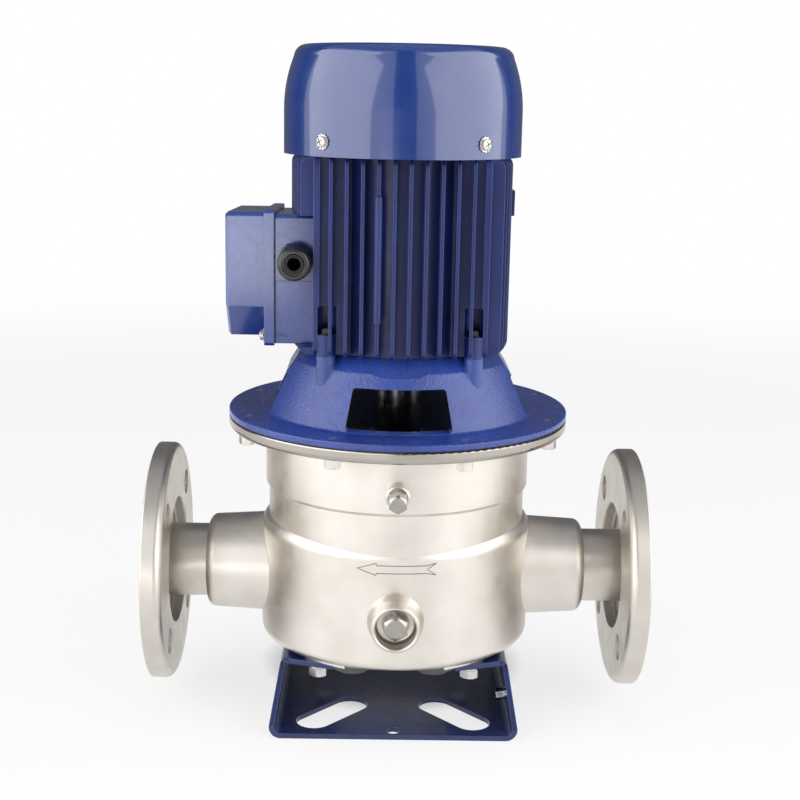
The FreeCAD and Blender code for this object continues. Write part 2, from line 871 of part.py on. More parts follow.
def motor_key_block():
    low = sleeve_top_z() - sleeve_l + 5.0
    return block(motor_shaft_r - motor_key_half_h, motor_shaft_r + motor_key_half_h,
                 -motor_key_w / 2, motor_key_w / 2, low, sleeve_top_z() - 3.0)


def impeller_key_block():
    low = impeller_hub_low_z() + 1.0
    return block(impeller_bore_r - impeller_key_half_h, impeller_bore_r + impeller_key_half_h,
                 -impeller_key_w / 2, impeller_key_w / 2, low, low + impeller_key_l)


def shaft_keys():
    return Part.makeCompound([motor_key_block(), impeller_key_block()])


def casing_cover():
    """Dished cover behind the impeller, with the shaft seal's chamber in its middle."""
    low = cover_floor_z
    top = lantern_z
    seat = rim_top_z - cover_seat_h
    spigot = bore_r - 2 * slip
    inside = spigot - 2 * cover_neck_inset
    hub_r = seal_chamber_r + cover_hub_t
    hub_top = seal_chamber_top_z + cover_hub_rise
    hole = pump_shaft_r + 1.0
    neck = spigot - cover_neck_inset
    cover = turned([(seal_chamber_r, low), (neck, low, 3.0), (neck, seat - cover_spigot_l, 2.0),
                    (spigot, seat - cover_spigot_l, 1.0), (spigot, seat), (cover_seat_r - slip, seat),
                    (cover_seat_r - slip, top), (inside, top), (inside, low + cover_plate_t, 4.0),
                    (hub_r, low + cover_plate_t, 3.0), (hub_r, hub_top, 1.0), (hole, hub_top),
                    (hole, seal_chamber_top_z), (seal_chamber_r, seal_chamber_top_z)])
    groove_z = cover_groove_z()
    half = groove_w / 2
    return cover.cut(ring(spigot - groove_depth, bore_r + 1, groove_z - half, groove_z + half))


def cover_groove_z():
    return rim_top_z - cover_seat_h - cover_spigot_l / 2


def cover_o_ring():
    """Cord ring that fills the groove from its floor to the casing's bore."""
    thickness = slip + groove_depth / 2
    radius = bore_r - thickness
    ring_body = Part.makeTorus(radius, thickness)
    ring_body.translate(V(0, 0, cover_groove_z()))
    return ring_body


def seal_seat():
    inner = pump_shaft_r + 1.2
    face_r = seal_chamber_r - 3.0
    outer = seal_chamber_r - slip
    top = seal_chamber_top_z
    step = top - seal_seat_w + 1.5
    return turned([(inner, top - seal_seat_w), (face_r, top - seal_seat_w), (face_r, step), (outer, step),
                   (outer, top), (inner, top)])


def seal_ring():
    top = seal_chamber_top_z - seal_seat_w - running
    return ring(pump_shaft_r + running, seal_chamber_r - 3.5, top - seal_ring_w, top)


def seal_bellows():
    """Rubber bellows that drives the seal ring and closes it on the shaft."""
    low = seal_face_low_z()
    top = seal_chamber_top_z - seal_seat_w - seal_ring_w - running
    step = (top - low) / 3
    inner = pump_shaft_r + running
    crest = seal_chamber_r - 4.0
    valley = crest - 3.0
    return turned([(inner, low), (crest - 0.5, low), (crest - 0.5, low + 0.6 * step), (valley, low + step),
                   (crest, low + 1.5 * step), (valley, low + 2 * step), (crest, low + 2.5 * step),
                   (crest, top), (inner, top)])


def casing_gasket():
    flat = ring(cover_seat_r + 0.5, rim_r - 0.4, rim_top_z, lantern_z)
    hole = cylinder(rim_bolt_r + bolt_slack, rim_top_z - 1, lantern_z + 1, rim_bolt_pcd / 2, 0)
    for copy in around(hole, rim_bolt_count, 180.0 / rim_bolt_count):
        flat = flat.cut(copy)
    return flat


def casing_bolts():
    x = rim_bolt_pcd / 2
    end = lantern_z + lantern_flange_t - 0.3
    head = hexagon(rim_bolt_af, V(x, 0, rim_base_z - rim_bolt_head), V(x, 0, rim_base_z), flat_turn)
    shank = cylinder(rim_bolt_r, rim_base_z - 0.5, end, x, 0)
    bolt = fused([head, shank])
    return Part.makeCompound(around(bolt, rim_bolt_count, 180.0 / rim_bolt_count))


# Lantern

def lantern_wall_r(z):
    """Outer radius of the lantern's cone at a height."""
    foot = lantern_z + lantern_flange_t
    waist = frame_z - lantern_ring_h
    share = (z - foot) / (waist - foot)
    return lantern_foot_r + (lantern_waist_r - lantern_foot_r) * share


def lantern():
    """Open casting with four windows, the lower bearing's seat and four tapped bosses."""
    foot = lantern_z + lantern_flange_t
    waist = frame_z - lantern_ring_h
    ceiling = frame_z - ceiling_drop
    shell = turned([(0, lantern_z), (rim_r, lantern_z, 0.8), (rim_r, foot, 1.2), (lantern_foot_r, foot, 2.5),
                    (lantern_waist_r, waist, 3.0), (lantern_top_r, frame_z), (0, frame_z)])
    for turn, drop, start in ((0, face_flat_drop, face_flat_y), (180, face_flat_drop, face_flat_y),
                              (90, side_flat_drop, side_flat_x), (270, side_flat_drop, side_flat_x)):
        start_z = frame_z - drop
        wedge = Part.makePolygon([V(-rim_r, -start, start_z), V(-rim_r, -side_flat_top_x, frame_z + 1),
                                  V(-rim_r, -rim_r, frame_z + 1), V(-rim_r, -rim_r, start_z),
                                  V(-rim_r, -start, start_z)])
        wedge = Part.Face(wedge).extrude(V(2 * rim_r, 0, 0))
        wedge.rotate(V(0, 0, 0), V(0, 0, 1), turn)
        shell = shell.cut(wedge)
    inner_foot = lantern_foot_r - lantern_wall
    hollow = turned([(0, lantern_z - 1), (inner_foot, lantern_z - 1), (inner_foot, foot),
                     (lantern_wall_r(ceiling) - ceiling_wall, ceiling, 5.0), (0, ceiling)])
    hub = cylinder(bearing_r + hub_wall, hub_low_z(), ceiling + 1)
    shell = shell.cut(hollow.cut(hub))
    locating_top = frame_z + locating_ring_h
    shell = shell.fuse(ring(stator_r - locating_ring_w, stator_r - slip, frame_z - 1, locating_top))
    shell = shell.cut(cylinder(bearing_r, bearing_low_z(), locating_top + 1))
    shell = shell.cut(cylinder(lip_seal_r, hub_low_z() - 1, bearing_low_z() + 1))
    sill = foot + window_sill
    head = sill + window_h
    for turn in (0, 90, 180, 270):
        opening = plate_y([(-window_low_w / 2, sill, 2.5), (window_low_w / 2, sill, 2.5),
                           (window_top_w / 2, head, 3.0), (-window_top_w / 2, head, 3.0)],
                          -rim_r - 5, -bearing_r - 22)
        opening.rotate(V(0, 0, 0), V(0, 0, 1), turn)
        shell = shell.cut(opening)
    hole = cylinder(rim_bolt_r + slip / 2, lantern_z - 1, foot + 1, rim_bolt_pcd / 2, 0)
    for copy in around(hole, rim_bolt_count, 180.0 / rim_bolt_count):
        shell = shell.cut(copy)
    boss_low = frame_z - boss_l
    spots = corners_of(lower_lug_x, lower_lug_y)
    shell = fused([shell] + [cylinder(boss_r, boss_low, frame_z, x, y) for x, y in spots])
    for x, y in spots:
        shell = shell.cut(cylinder(frame_bolt_r, frame_z - boss_thread_l, frame_z + 1, x, y))
    return shell


# Motor

def shell_r():
    return stator_r + frame_wall


def fin_row(reach, bow, low, high):
    """Ten parallel fins towards -Y with their two edge walls, the tips on one shallow arc."""
    fins = []
    places = [(fin_pitch * (i - (fin_count - 1) / 2), fin_t) for i in range(fin_count)]
    for x, thickness in places + [(-edge_wall_at, edge_wall_t), (edge_wall_at, edge_wall_t)]:
        root = math.sqrt((shell_r() - 2.0) ** 2 - x * x)
        tip = reach - x * x / bow
        corner = min(fin_corner_r, 0.4 * (tip - root))
        fin = plate_y([(root, low), (tip, low, corner), (tip, high, corner), (root, high)],
                      x - thickness / 2, x + thickness / 2)
        fin.rotate(V(0, 0, 0), V(0, 0, 1), -90)
        fins.append(fin)
    return fins


def motor_frame():
    """Finned motor housing with its lugs and the flat where the terminal box sits."""
    low = frame_z
    high = frame_top_z
    body = [ring(stator_r, shell_r(), low, high)]
    front = fin_row(front_fin_reach, front_fin_bow, low + 0.5, high)
    side = fin_row(side_fin_reach, side_fin_bow, low + 0.5, high)
    for fin in front:
        body.append(fin)
        body.append(fin.mirror(V(0, 0, 0), V(0, 1, 0)))
    for fin in side:
        right = fin.copy()
        right.rotate(V(0, 0, 0), V(0, 0, 1), 90)
        body.append(right)
        body.append(mirrored_x(right))
    for x, y in corners_of(lower_lug_x, lower_lug_y):
        body.append(cylinder(lug_r, low, low + lower_lug_h, x, y))
        inner_y = math.copysign(math.sqrt(stator_r ** 2 - x * x) + 1.0, y)
        body.append(block(x - 3.0, x + 3.0, min(y, inner_y), max(y, inner_y), low, low + lower_lug_h))
    for x, y in corners_of(upper_lug_x, upper_lug_y):
        body.append(cylinder(lug_r, high - upper_lug_h, high, x, y))
    rib_x = -1.5 * fin_pitch
    rib_y = -(front_fin_reach - rib_x ** 2 / front_fin_bow) + 0.8
    rib_top = V(rib_x, rib_y, low + rib_lift + rib_l)
    body.append(rod(rib_r, V(rib_x, rib_y, low + rib_lift), rib_top))
    body.append(Part.makeSphere(rib_r, rib_top))
    tab_x = side_fin_reach - 1.0
    tab_low = low + tab_lift
    body.append(block(tab_x, tab_x + tab_t + 1.0, -tab_half_y, tab_half_y, tab_low, tab_low + tab_h))
    frame = fused(body).cut(cylinder(stator_r, low - 1, high + 1))
    room = block(-side_fin_reach - 2, -box_back_x, -edge_wall_at - edge_wall_t, edge_wall_at + edge_wall_t,
                 box_low_z - slip, box_high_z + slip)
    frame = frame.cut(room.cut(cylinder(shell_r(), low, high)))
    cable_z = cable_hole_z()
    frame = frame.cut(rod(cable_hole_r, V(-stator_r + 4, 0, cable_z), V(-shell_r() - 4, 0, cable_z)))
    lug_top = low + lower_lug_h
    for x, y in corners_of(lower_lug_x, lower_lug_y):
        frame = frame.cut(cylinder(frame_bolt_r + slip, low - 1, lug_top + 1, x, y))
        notch = cylinder(spanner_r, lug_top, lug_top + spanner_h, x, y)
        frame = frame.cut(notch.cut(cylinder(shell_r(), low, high)))
    for x, y in corners_of(upper_lug_x, upper_lug_y):
        frame = frame.cut(cylinder(shield_bolt_r, high - upper_lug_h + 2, high + 1, x, y))
    return frame


def cable_hole_z():
    return box_low_z + cable_hole_lift


def stack_z():
    return frame_z + stack_lift


def stator_core():
    return ring(rotor_r + air_gap, stator_r - running, stack_z(), stack_z() + stack_l)


def stator_windings():
    """End turns above and below the stator stack."""
    inner = rotor_r + winding_gap
    outer = stator_r - winding_gap
    low = stack_z() - winding_l
    high = stack_z() + stack_l
    top = high + winding_l
    below = turned([(inner, low, 4.0), (outer, low, 4.0), (outer, stack_z()), (inner, stack_z())])
    above = turned([(inner, high), (outer, high), (outer, top, 4.0), (inner, top, 4.0)])
    return Part.makeCompound([below, above])


def rotor_core():
    """Laminated rotor with its cast end rings."""
    low = stack_z()
    high = low + stack_l
    inner = end_ring_bore_r
    outer = rotor_r - 2.0
    foot = low - end_ring_l
    top = high + end_ring_l
    return turned([(rotor_seat_r, low), (inner, low), (inner, foot, 1.0), (outer, foot, 1.5),
                   (rotor_r, low), (rotor_r, high), (outer, top, 1.5), (inner, top, 1.0),
                   (inner, high), (rotor_seat_r, high)])


def upper_bearing_z():
    return frame_top_z - bearing_drop


def fan_low_z():
    return cowl_z + fan_lift


def motor_shaft():
    low_bearing = bearing_low_z()
    top_bearing = upper_bearing_z()
    fan_top = fan_low_z() + fan_h
    low = sleeve_top_z() - sleeve_l + 3.0 + slip
    collar_r = rotor_seat_r - 1.0
    seat_low = stack_z() - 4.0
    seat_top = stack_z() + stack_l + 4.0
    shaft = turned([(0, low), (motor_shaft_r, low, 1.0), (motor_shaft_r, low_bearing - slip),
                    (bearing_bore_r, low_bearing - slip), (bearing_bore_r, low_bearing + bearing_w),
                    (collar_r, low_bearing + bearing_w), (collar_r, seat_low), (rotor_seat_r, seat_low),
                    (rotor_seat_r, seat_top), (collar_r, seat_top), (collar_r, top_bearing),
                    (bearing_bore_r, top_bearing), (bearing_bore_r, top_bearing + bearing_w),
                    (fan_bore_r, top_bearing + bearing_w), (fan_bore_r, fan_top + 4.0, 1.0),
                    (0, fan_top + 4.0)])
    shaft = shaft.cut(ring(fan_bore_r - 0.8, fan_bore_r + 1, fan_top + slip, fan_top + slip + circlip_t))
    return shaft.cut(motor_key_block())


def bearing_ring(inner, outer, low):
    """One bearing ring with the ball groove turned into it."""
    middle = low + bearing_w / 2
    body = turned([(inner, low, 0.6), (outer, low, 0.6), (outer, low + bearing_w, 0.6),
                   (inner, low + bearing_w, 0.6)])
    groove = Part.makeTorus(ball_pitch_r, ball_r + 0.12)
    groove.translate(V(0, 0, middle))
    return body.cut(groove)


def bearing_inner_ring(low):
    return bearing_ring(bearing_bore_r, ball_pitch_r - 2.9, low)


def bearing_outer_ring(low):
    return bearing_ring(ball_pitch_r + 2.9, bearing_r, low)


def bearing_balls(low):
    ball = Part.makeSphere(ball_r, V(ball_pitch_r, 0, low + bearing_w / 2))
    return Part.makeCompound(around(ball, ball_count))


def bearing_cage(low):
    middle = low + bearing_w / 2
    cage = ring(ball_pitch_r - 1.1, ball_pitch_r + 1.1, middle - 5.0, middle + 5.0)
    pocket = rod(ball_r + 0.15, V(ball_pitch_r - 6, 0, middle), V(ball_pitch_r + 6, 0, middle))
    for copy in around(pocket, ball_count):
        cage = cage.cut(copy)
    return cage


def lip_seal():
    low = hub_low_z()
    return turned([(motor_shaft_r + running, low + 1.2), (motor_shaft_r + 2.0, low), (lip_seal_r, low),
                   (lip_seal_r, low + lip_seal_w - 0.2), (motor_shaft_r + 3.0, low + lip_seal_w - 0.2),
                   (motor_shaft_r + 1.6, low + 2.4), (motor_shaft_r + running, low + 2.0)])


def end_shield():
    """Upper bearing shield with the arms that carry the cowl."""
    low = frame_top_z
    bearing_low = upper_bearing_z()
    hub_top = bearing_low + bearing_w + wave_spring_h + 3.0
    shield = turned([(bearing_bore_r + 1.5, hub_top), (bearing_r + 5.0, hub_top, 1.5),
                     (bearing_r + 5.0, low + shield_t, 3.0), (shield_r, low + shield_t, 1.0),
                     (shield_r, low), (stator_r - slip, low),
                     (stator_r - slip, low - 5.0), (stator_r - 5.0, low - 5.0), (stator_r - 5.0, low, 1.0),
                     (bearing_r + 4.0, low, 2.0), (bearing_r + 4.0, bearing_low - 1.0),
                     (bearing_r, bearing_low - 1.0), (bearing_r, bearing_low + bearing_w + wave_spring_h),
                     (bearing_bore_r + 1.5, bearing_low + bearing_w + wave_spring_h)])
    extras = []
    for x, y in corners_of(upper_lug_x, upper_lug_y):
        extras.append(cylinder(lug_r, low, low + shield_t, x, y))
    arm_r = cowl_r - cowl_t - slip
    arm_low = cowl_screw_z() - cowl_arm_half_h
    arm_top = cowl_screw_z() + cowl_arm_half_h
    arm_root = shield_r - 6.5
    for sx, sy in corners_of(1, 1):
        turn = math.radians(cowl_screw_angle)
        outward = V(sx * math.cos(turn), sy * math.sin(turn), 0)
        across = V(-outward.y, outward.x, 0) * cowl_arm_half

        def bar(start, stop, z0, z1):
            a = outward * start
            b = outward * stop
            return plan_prism([(a.x + across.x, a.y + across.y), (b.x + across.x, b.y + across.y),
                               (b.x - across.x, b.y - across.y), (a.x - across.x, a.y - across.y)], z0, z1)

        extras.append(bar(arm_root, shield_r - 1.0, low + 1.0, arm_top))
        extras.append(bar(arm_root, arm_r + 2.0, arm_low, arm_top).common(cylinder(arm_r, low, arm_top)))
    shield = fused([shield] + extras)
    for x, y in corners_of(upper_lug_x, upper_lug_y):
        shield = shield.cut(cylinder(shield_bolt_r + slip, low - 1, low + shield_t + 1, x, y))
    for start, stop in cowl_screw_lines():
        shield = shield.cut(rod(cowl_screw_r, start, stop))
    return shield


def cowl_screw_z():
    return cowl_z + cowl_screw_lift


def cowl_screw_lines():
    """Start and end of each cowl screw's thread, from inside outward."""
    lines = []
    for sx, sy in corners_of(1, 1):
        turn = math.radians(cowl_screw_angle)
        outward = V(sx * math.cos(turn), sy * math.sin(turn), 0)
        lift = V(0, 0, cowl_screw_z())
        lines.append((outward * (cowl_r - 9.0) + lift, outward * cowl_r + lift))
    return lines


def cowl_screws():
    solids = []
    for start, stop in cowl_screw_lines():
        outward = unit(stop - start)
        washer = rod(cowl_washer_r, stop, stop + outward * 0.8)
        ball = Part.makeSphere(cowl_washer_r + 0.2, stop - outward * 1.0)
        dome = ball.common(rod(cowl_washer_r - 0.8, stop + outward * 0.5, stop + outward * 6.0))
        thread = rod(cowl_screw_r, start, stop + outward * 0.6)
        solids.append(fused([washer, dome, thread]))
    return Part.makeCompound(solids)


def wave_spring():
    low = upper_bearing_z() + bearing_w
    return ring(bearing_r - 5.0, bearing_r - 0.5, low, low + wave_spring_h)


def frame_bolts():
    """Bolts through the motor's lower lugs into the lantern's bosses."""
    solids = []
    seat = frame_z + lower_lug_h
    for x, y in corners_of(lower_lug_x, lower_lug_y):
        washer = cylinder(5.0, seat, seat + 1.0, x, y)
        head = hexagon(frame_bolt_af, V(x, y, seat + 0.5), V(x, y, seat + 1.0 + frame_bolt_head))
        shank = cylinder(frame_bolt_r, frame_z - boss_thread_l + 1.0, seat + 0.5, x, y)
        solids.append(fused([washer, head, shank]))
    return Part.makeCompound(solids)


def end_shield_bolts():
    solids = []
    seat = frame_top_z + shield_t
    for x, y in corners_of(upper_lug_x, upper_lug_y):
        head = hexagon(shield_bolt_af, V(x, y, seat), V(x, y, seat + shield_bolt_head))
        shank = cylinder(shield_bolt_r, frame_top_z - upper_lug_h + 3, seat + 0.5, x, y)
        solids.append(fused([head, shank]))
    return Part.makeCompound(solids)


def cooling_fan():
    """Radial fan: hub, back disc and straight blades that run either way."""
    low = fan_low_z()
    root = fan_hub_r - 1.0
    hub = ring(fan_bore_r, fan_hub_r, low, low + fan_h)
    disc = ring(root, fan_r - 12.0, low, low + fan_sheet_t)
    pieces = [hub, disc]
    blade = plate_y([(root, low + 0.5), (fan_r - 3.0, low + 0.5), (fan_r, low + 6.0, 2.0),
                     (fan_r, low + fan_h - 4.0, 4.0), (root + 10.0, low + fan_h, 6.0), (root, low + fan_h)],
                    -fan_sheet_t / 2, fan_sheet_t / 2)
    pieces.extend(around(blade, fan_blades, 11.0))
    return fused(pieces)


def fan_circlip():
    low = fan_low_z() + fan_h + slip
    clip = ring(fan_bore_r - 0.8, fan_bore_r + 1.8, low, low + circlip_t)
    return clip.cut(block(-2.0, 2.0, fan_bore_r - 3.0, fan_bore_r + 4.0, low - 1, low + 3))


def cowl_profile(inset):
    """Outside line of the cowl from its open end to the middle of its top."""
    radius = cowl_r - inset
    top = cowl_top_z - inset
    bend = cowl_z + cowl_straight
    flat = cowl_top_flat_r
    shoulder = V(cowl_r - cowl_draw - inset, 0, cowl_top_z - cowl_shoulder_h)
    half_way = (bend + shoulder.z) / 2
    side = Part.Arc(V(radius, 0, bend), V(radius - cowl_bulge, 0, half_way), shoulder)
    corner = Part.Arc(shoulder, V(flat + (shoulder.x - flat) * 0.72, 0, top - 2.2), V(flat, 0, top))
    return radius, bend, side, corner, top, flat


def cowl_solid(inset, low):
    radius, bend, side, corner, top, flat = cowl_profile(inset)
    foot = V(radius, 0, low)
    crown = V(0, 0, top)
    edges = [Part.makeLine(V(0, 0, low), foot), Part.makeLine(foot, V(radius, 0, bend)), side.toShape(),
             corner.toShape(), Part.makeLine(V(flat, 0, top), crown), Part.makeLine(crown, V(0, 0, low))]
    return Part.Face(Part.Wire(edges)).revolve(V(0, 0, 0), V(0, 0, 1), 360)


def grille_slots():
    """Curved slots in rings on the cowl's top, with spokes left between them."""
    slots = []
    step = (cowl_top_flat_r - grille_edge - grille_inner_r) / grille_rings
    bar = block(0, cowl_r, -grille_spoke_w / 2, grille_spoke_w / 2, cowl_top_z - 5, cowl_top_z + 3)
    spokes = Part.makeCompound(around(bar, grille_spokes, 15.0))
    for i in range(grille_rings):
        radius = grille_inner_r + step * (i + 0.5)
        band = ring(radius - grille_slot_w / 2, radius + grille_slot_w / 2, cowl_top_z - 4, cowl_top_z + 2)
        slots.append(band.cut(spokes))
    return slots


def fan_cowl():
    cowl = cowl_solid(0, cowl_z).cut(cowl_solid(cowl_t, cowl_z - 1))
    for slot in grille_slots():
        cowl = cowl.cut(slot)
    for start, stop in cowl_screw_lines():
        outward = unit(stop - start)
        cowl = cowl.cut(rod(cowl_screw_r + slip, start, stop + outward * 2.0))
    return cowl


# Terminal box

def box_outline(half_y, low, high, low_cut_y, low_cut_z, high_cut):
    """Points (y, z) of the box's face with cut corners; the top falls a little to the rear."""
    rear = high - box_top_fall
    return [(-half_y + low_cut_y, low), (half_y - low_cut_y, low), (half_y, low + low_cut_z),
            (half_y, rear - high_cut), (half_y - high_cut, rear), (-half_y + high_cut, high),
            (-half_y, high - high_cut), (-half_y, low + low_cut_z)]


def box_prism(points, x0, x1):
    """Prism along X from a polygon in (y, z)."""
    spots = [V(x0, y, z) for y, z in points]
    return Part.Face(Part.makePolygon(spots + [spots[0]])).extrude(V(x1 - x0, 0, 0))


def terminal_box():
    outer = box_prism(box_outline(box_half_y, box_low_z, box_high_z, box_corner, box_corner, box_top_cut),
                      -box_rim_x, -box_back_x)
    outer = outer.cut(cylinder(shell_r() + slip, box_low_z - 5, box_high_z + 5))
    outer = outer.cut(block(-box_rim_x - 1, -box_back_x + 1, -box_half_y - 1, -box_half_y + box_step_t,
                            box_low_z - 1, box_low_z + box_step_h))
    room = box_outline(box_half_y - box_wall, box_low_z + box_wall, box_high_z - box_wall,
                       box_corner, box_corner, box_top_cut)
    inner = box_prism(room, -box_rim_x - 1, -box_back_x - box_wall)
    inner = inner.cut(cylinder(saddle_r(), box_low_z - 5, box_high_z + 5))
    bosses = []
    for y, z in lid_screw_spots():
        bosses.append(rod(lid_boss_r, V(-box_rim_x, y, z), V(-box_rim_x + 12, y, z)).common(outer))
    box = fused([outer.cut(inner)] + bosses)
    for y, z in lid_screw_spots():
        box = box.cut(rod(lid_screw_r, V(-box_rim_x - 1, y, z), V(-box_rim_x + lid_screw_l + 1, y, z)))
    box = box.cut(rod(gland_thread_r, V(-gland_x, -box_half_y - 1, gland_z),
                      V(-gland_x, -box_half_y + box_wall + 1, gland_z)))
    return box.cut(rod(cable_hole_r, V(-stator_r, 0, cable_hole_z()), V(-box_rim_x, 0, cable_hole_z())))


def saddle_r():
    """Inner face of the box's wall on the motor shell."""
    return shell_r() + slip + box_wall


def lid_screw_spots():
    """Places (y, z) of the two screws at the lid's lower corners."""
    return [(-box_half_y + lid_screw_inset, box_low_z + lid_screw_lift),
            (box_half_y - lid_screw_inset, box_low_z + lid_screw_lift)]


def terminal_box_gasket():
    flat = box_prism(box_outline(box_half_y, box_low_z, box_high_z, box_corner, box_corner, box_top_cut),
                     -box_rim_x - box_gasket_t, -box_rim_x)
    corner = 2 * lid_boss_r
    window = box_outline(box_half_y - box_wall, box_low_z + box_wall, box_high_z - box_wall,
                         corner, corner, 1.0)
    flat = flat.cut(box_prism(window, -box_rim_x - 9, -box_rim_x + 9))
    for y, z in lid_screw_spots():
        flat = flat.cut(rod(lid_screw_r + slip, V(-box_rim_x - 9, y, z), V(-box_rim_x + 9, y, z)))
    return flat


def terminal_box_lid():
    """Pressed lid: a flange on the box and a dome with its lower corners cut off."""
    seat = box_rim_x + box_gasket_t
    lip = seat + lid_lip_t
    plate = box_prism(box_outline(lid_half_y, lid_low_z, lid_high_z, 2.0, 2.0, 2.0), -lip, -seat)
    front = lid_face_x - dome_edge
    rim = box_outline(box_half_y, dome_low_z, dome_high_z, dome_cut_y, dome_cut_z, box_top_cut)
    face = box_outline(box_half_y - dome_edge, dome_low_z + dome_edge, dome_high_z - dome_edge,
                       dome_cut_y, dome_cut_z, box_top_cut)
    body = box_prism(rim, -front, -lip + 1)
    nose = tapered(rim, -front, face, -lid_face_x)
    hollow = box_prism(box_outline(box_half_y - lid_wall, dome_low_z + lid_wall, box_high_z - lid_wall,
                                   dome_cut_y, dome_cut_z, dome_edge), -front, -seat + 1)
    lid = fused([plate, body, nose]).cut(hollow)
    for y, z in lid_screw_spots():
        lid = lid.cut(rod(lid_screw_r + slip, V(-lip - 1, y, z), V(-seat + 1, y, z)))
    return lid


def tapered(points_a, x_a, points_b, x_b):
    """Loft between two polygons (y, z) that lie at two places along X."""
    wires = []
    for points, x in ((points_a, x_a), (points_b, x_b)):
        spots = [V(x, y, z) for y, z in points]
        wires.append(Part.makePolygon(spots + [spots[0]]))
    return Part.makeLoft(wires, True, True)


def lid_screws():
    solids = []
    lip = box_rim_x + box_gasket_t + lid_lip_t
    for y, z in lid_screw_spots():
        seat = V(-lip, y, z)
        out = V(-1, 0, 0)
        washer = rod(lid_washer_r, seat, seat + out * 0.8)
        head = rod(lid_head_r, seat + out * 0.5, seat + out * lid_head_h)
        tip_edge = [edge for edge in head.Edges if abs(edge.BoundBox.XMax - (seat.x - lid_head_h)) < 0.01]
        head = head.makeFillet(lid_screw_r * 0.6, tip_edge)
        thread = rod(lid_screw_r, seat - out * (lid_lip_t + box_gasket_t + lid_screw_l), seat + out * 0.6)
        solids.append(fused([washer, head, thread]))
    return Part.makeCompound(solids)


def board_x():
    """Distance of the terminal board's face from the pump axis."""
    return saddle_r() + board_t


def board_z():
    """Middle of the terminal board, halfway up the box."""
    return (box_low_z + box_high_z) / 2


def terminal_board():
    board = block(-board_x(), -shell_r() + 3, -board_half_y, board_half_y, board_z() - board_half_h,
                  board_z() + board_half_h)
    board = board.cut(cylinder(saddle_r(), box_low_z, box_high_z))
    for y, z in stud_spots():
        board = board.cut(rod(stud_r, V(-board_x() - 1, y, z), V(-board_x() + stud_sunk, y, z)))
    return board


def stud_spots():
    columns = (-stud_pitch_y, 0.0, stud_pitch_y)
    return [(y, board_z() + lift) for y in columns for lift in (-stud_row_z, stud_row_z)]


def terminal_studs():
    solids = []
    for y, z in stud_spots():
        face = V(-board_x(), y, z)
        out = V(-1, 0, 0)
        stud = rod(stud_r, face - out * stud_sunk, face + out * stud_out)
        nut = hexagon(stud_nut_af, face, face + out * stud_nut_h)
        solids.append(fused([stud, nut]))
    return Part.makeCompound(solids)


def gland_line(depth):
    """Point on the cable gland's axis, at a distance out of the box's front face."""
    return V(-gland_x, -box_half_y - depth, gland_z)


def gland_body():
    """Threaded body of the cable gland, with its hexagon on the box."""
    thread = rod(gland_thread_r, gland_line(-box_wall - 4.0), gland_line(0.5))
    base = hexagon(gland_af, gland_line(0), gland_line(gland_hex_l), gland_spin)
    base = base.common(rod(gland_round_r, gland_line(0), gland_line(gland_hex_l)))
    neck = rod(gland_thread_r, gland_line(gland_hex_l - 0.5), gland_line(gland_hex_l + 6.0))
    bore = rod(gland_bore_r, gland_line(-box_wall - 5.0), gland_line(gland_hex_l + 7.0))
    return fused([thread, base, neck]).cut(bore)


def gland_nut():
    """Dome nut of the cable gland, rounded down to its open end, with grip ribs round its skirt."""
    start = gland_hex_l + slip
    skirt_end = start + gland_skirt_l
    skirt = rod(gland_dome_r + 0.4, gland_line(start), gland_line(skirt_end))
    for turn in range(0, 360, 30):
        side = V(math.cos(math.radians(turn)), 0, math.sin(math.radians(turn))) * (gland_dome_r + 0.9)
        skirt = skirt.cut(rod(0.9, gland_line(start + 1.5) + side, gland_line(skirt_end + 1.0) + side))
    dome = rod(gland_dome_r, gland_line(skirt_end - 0.5), gland_line(gland_tip))
    tip_edge = [edge for edge in dome.Edges if abs(edge.BoundBox.YMax - gland_line(gland_tip).y) < 0.01]
    dome = dome.makeFillet(2.2, tip_edge)
    inside = rod(gland_thread_r + slip, gland_line(start - 1.0), gland_line(gland_hex_l + 8.5))
    mouth = rod(gland_bore_r + slip, gland_line(gland_hex_l + 7.0), gland_line(gland_tip - 3.0))
    lip = rod(gland_lip_r, gland_line(gland_tip - 3.2), gland_line(gland_tip + 1.0))
    return fused([skirt, dome]).cut(inside).cut(mouth).cut(lip)


def gland_seal():
    """Rubber seal with stepped rings in its mouth, for cables of several sizes."""
    seal = rod(gland_bore_r - slip / 2, gland_line(3.0), gland_line(gland_tip - 1.6))
    bore = rod(seal_bore_r, gland_line(2.0), gland_line(gland_tip))
    steps = []
    for i, radius in enumerate(seal_steps):
        steps.append(rod(radius, gland_line(gland_tip - 2.2 - 0.6 * i), gland_line(gland_tip)))
    return seal.cut(fused([bore] + steps))


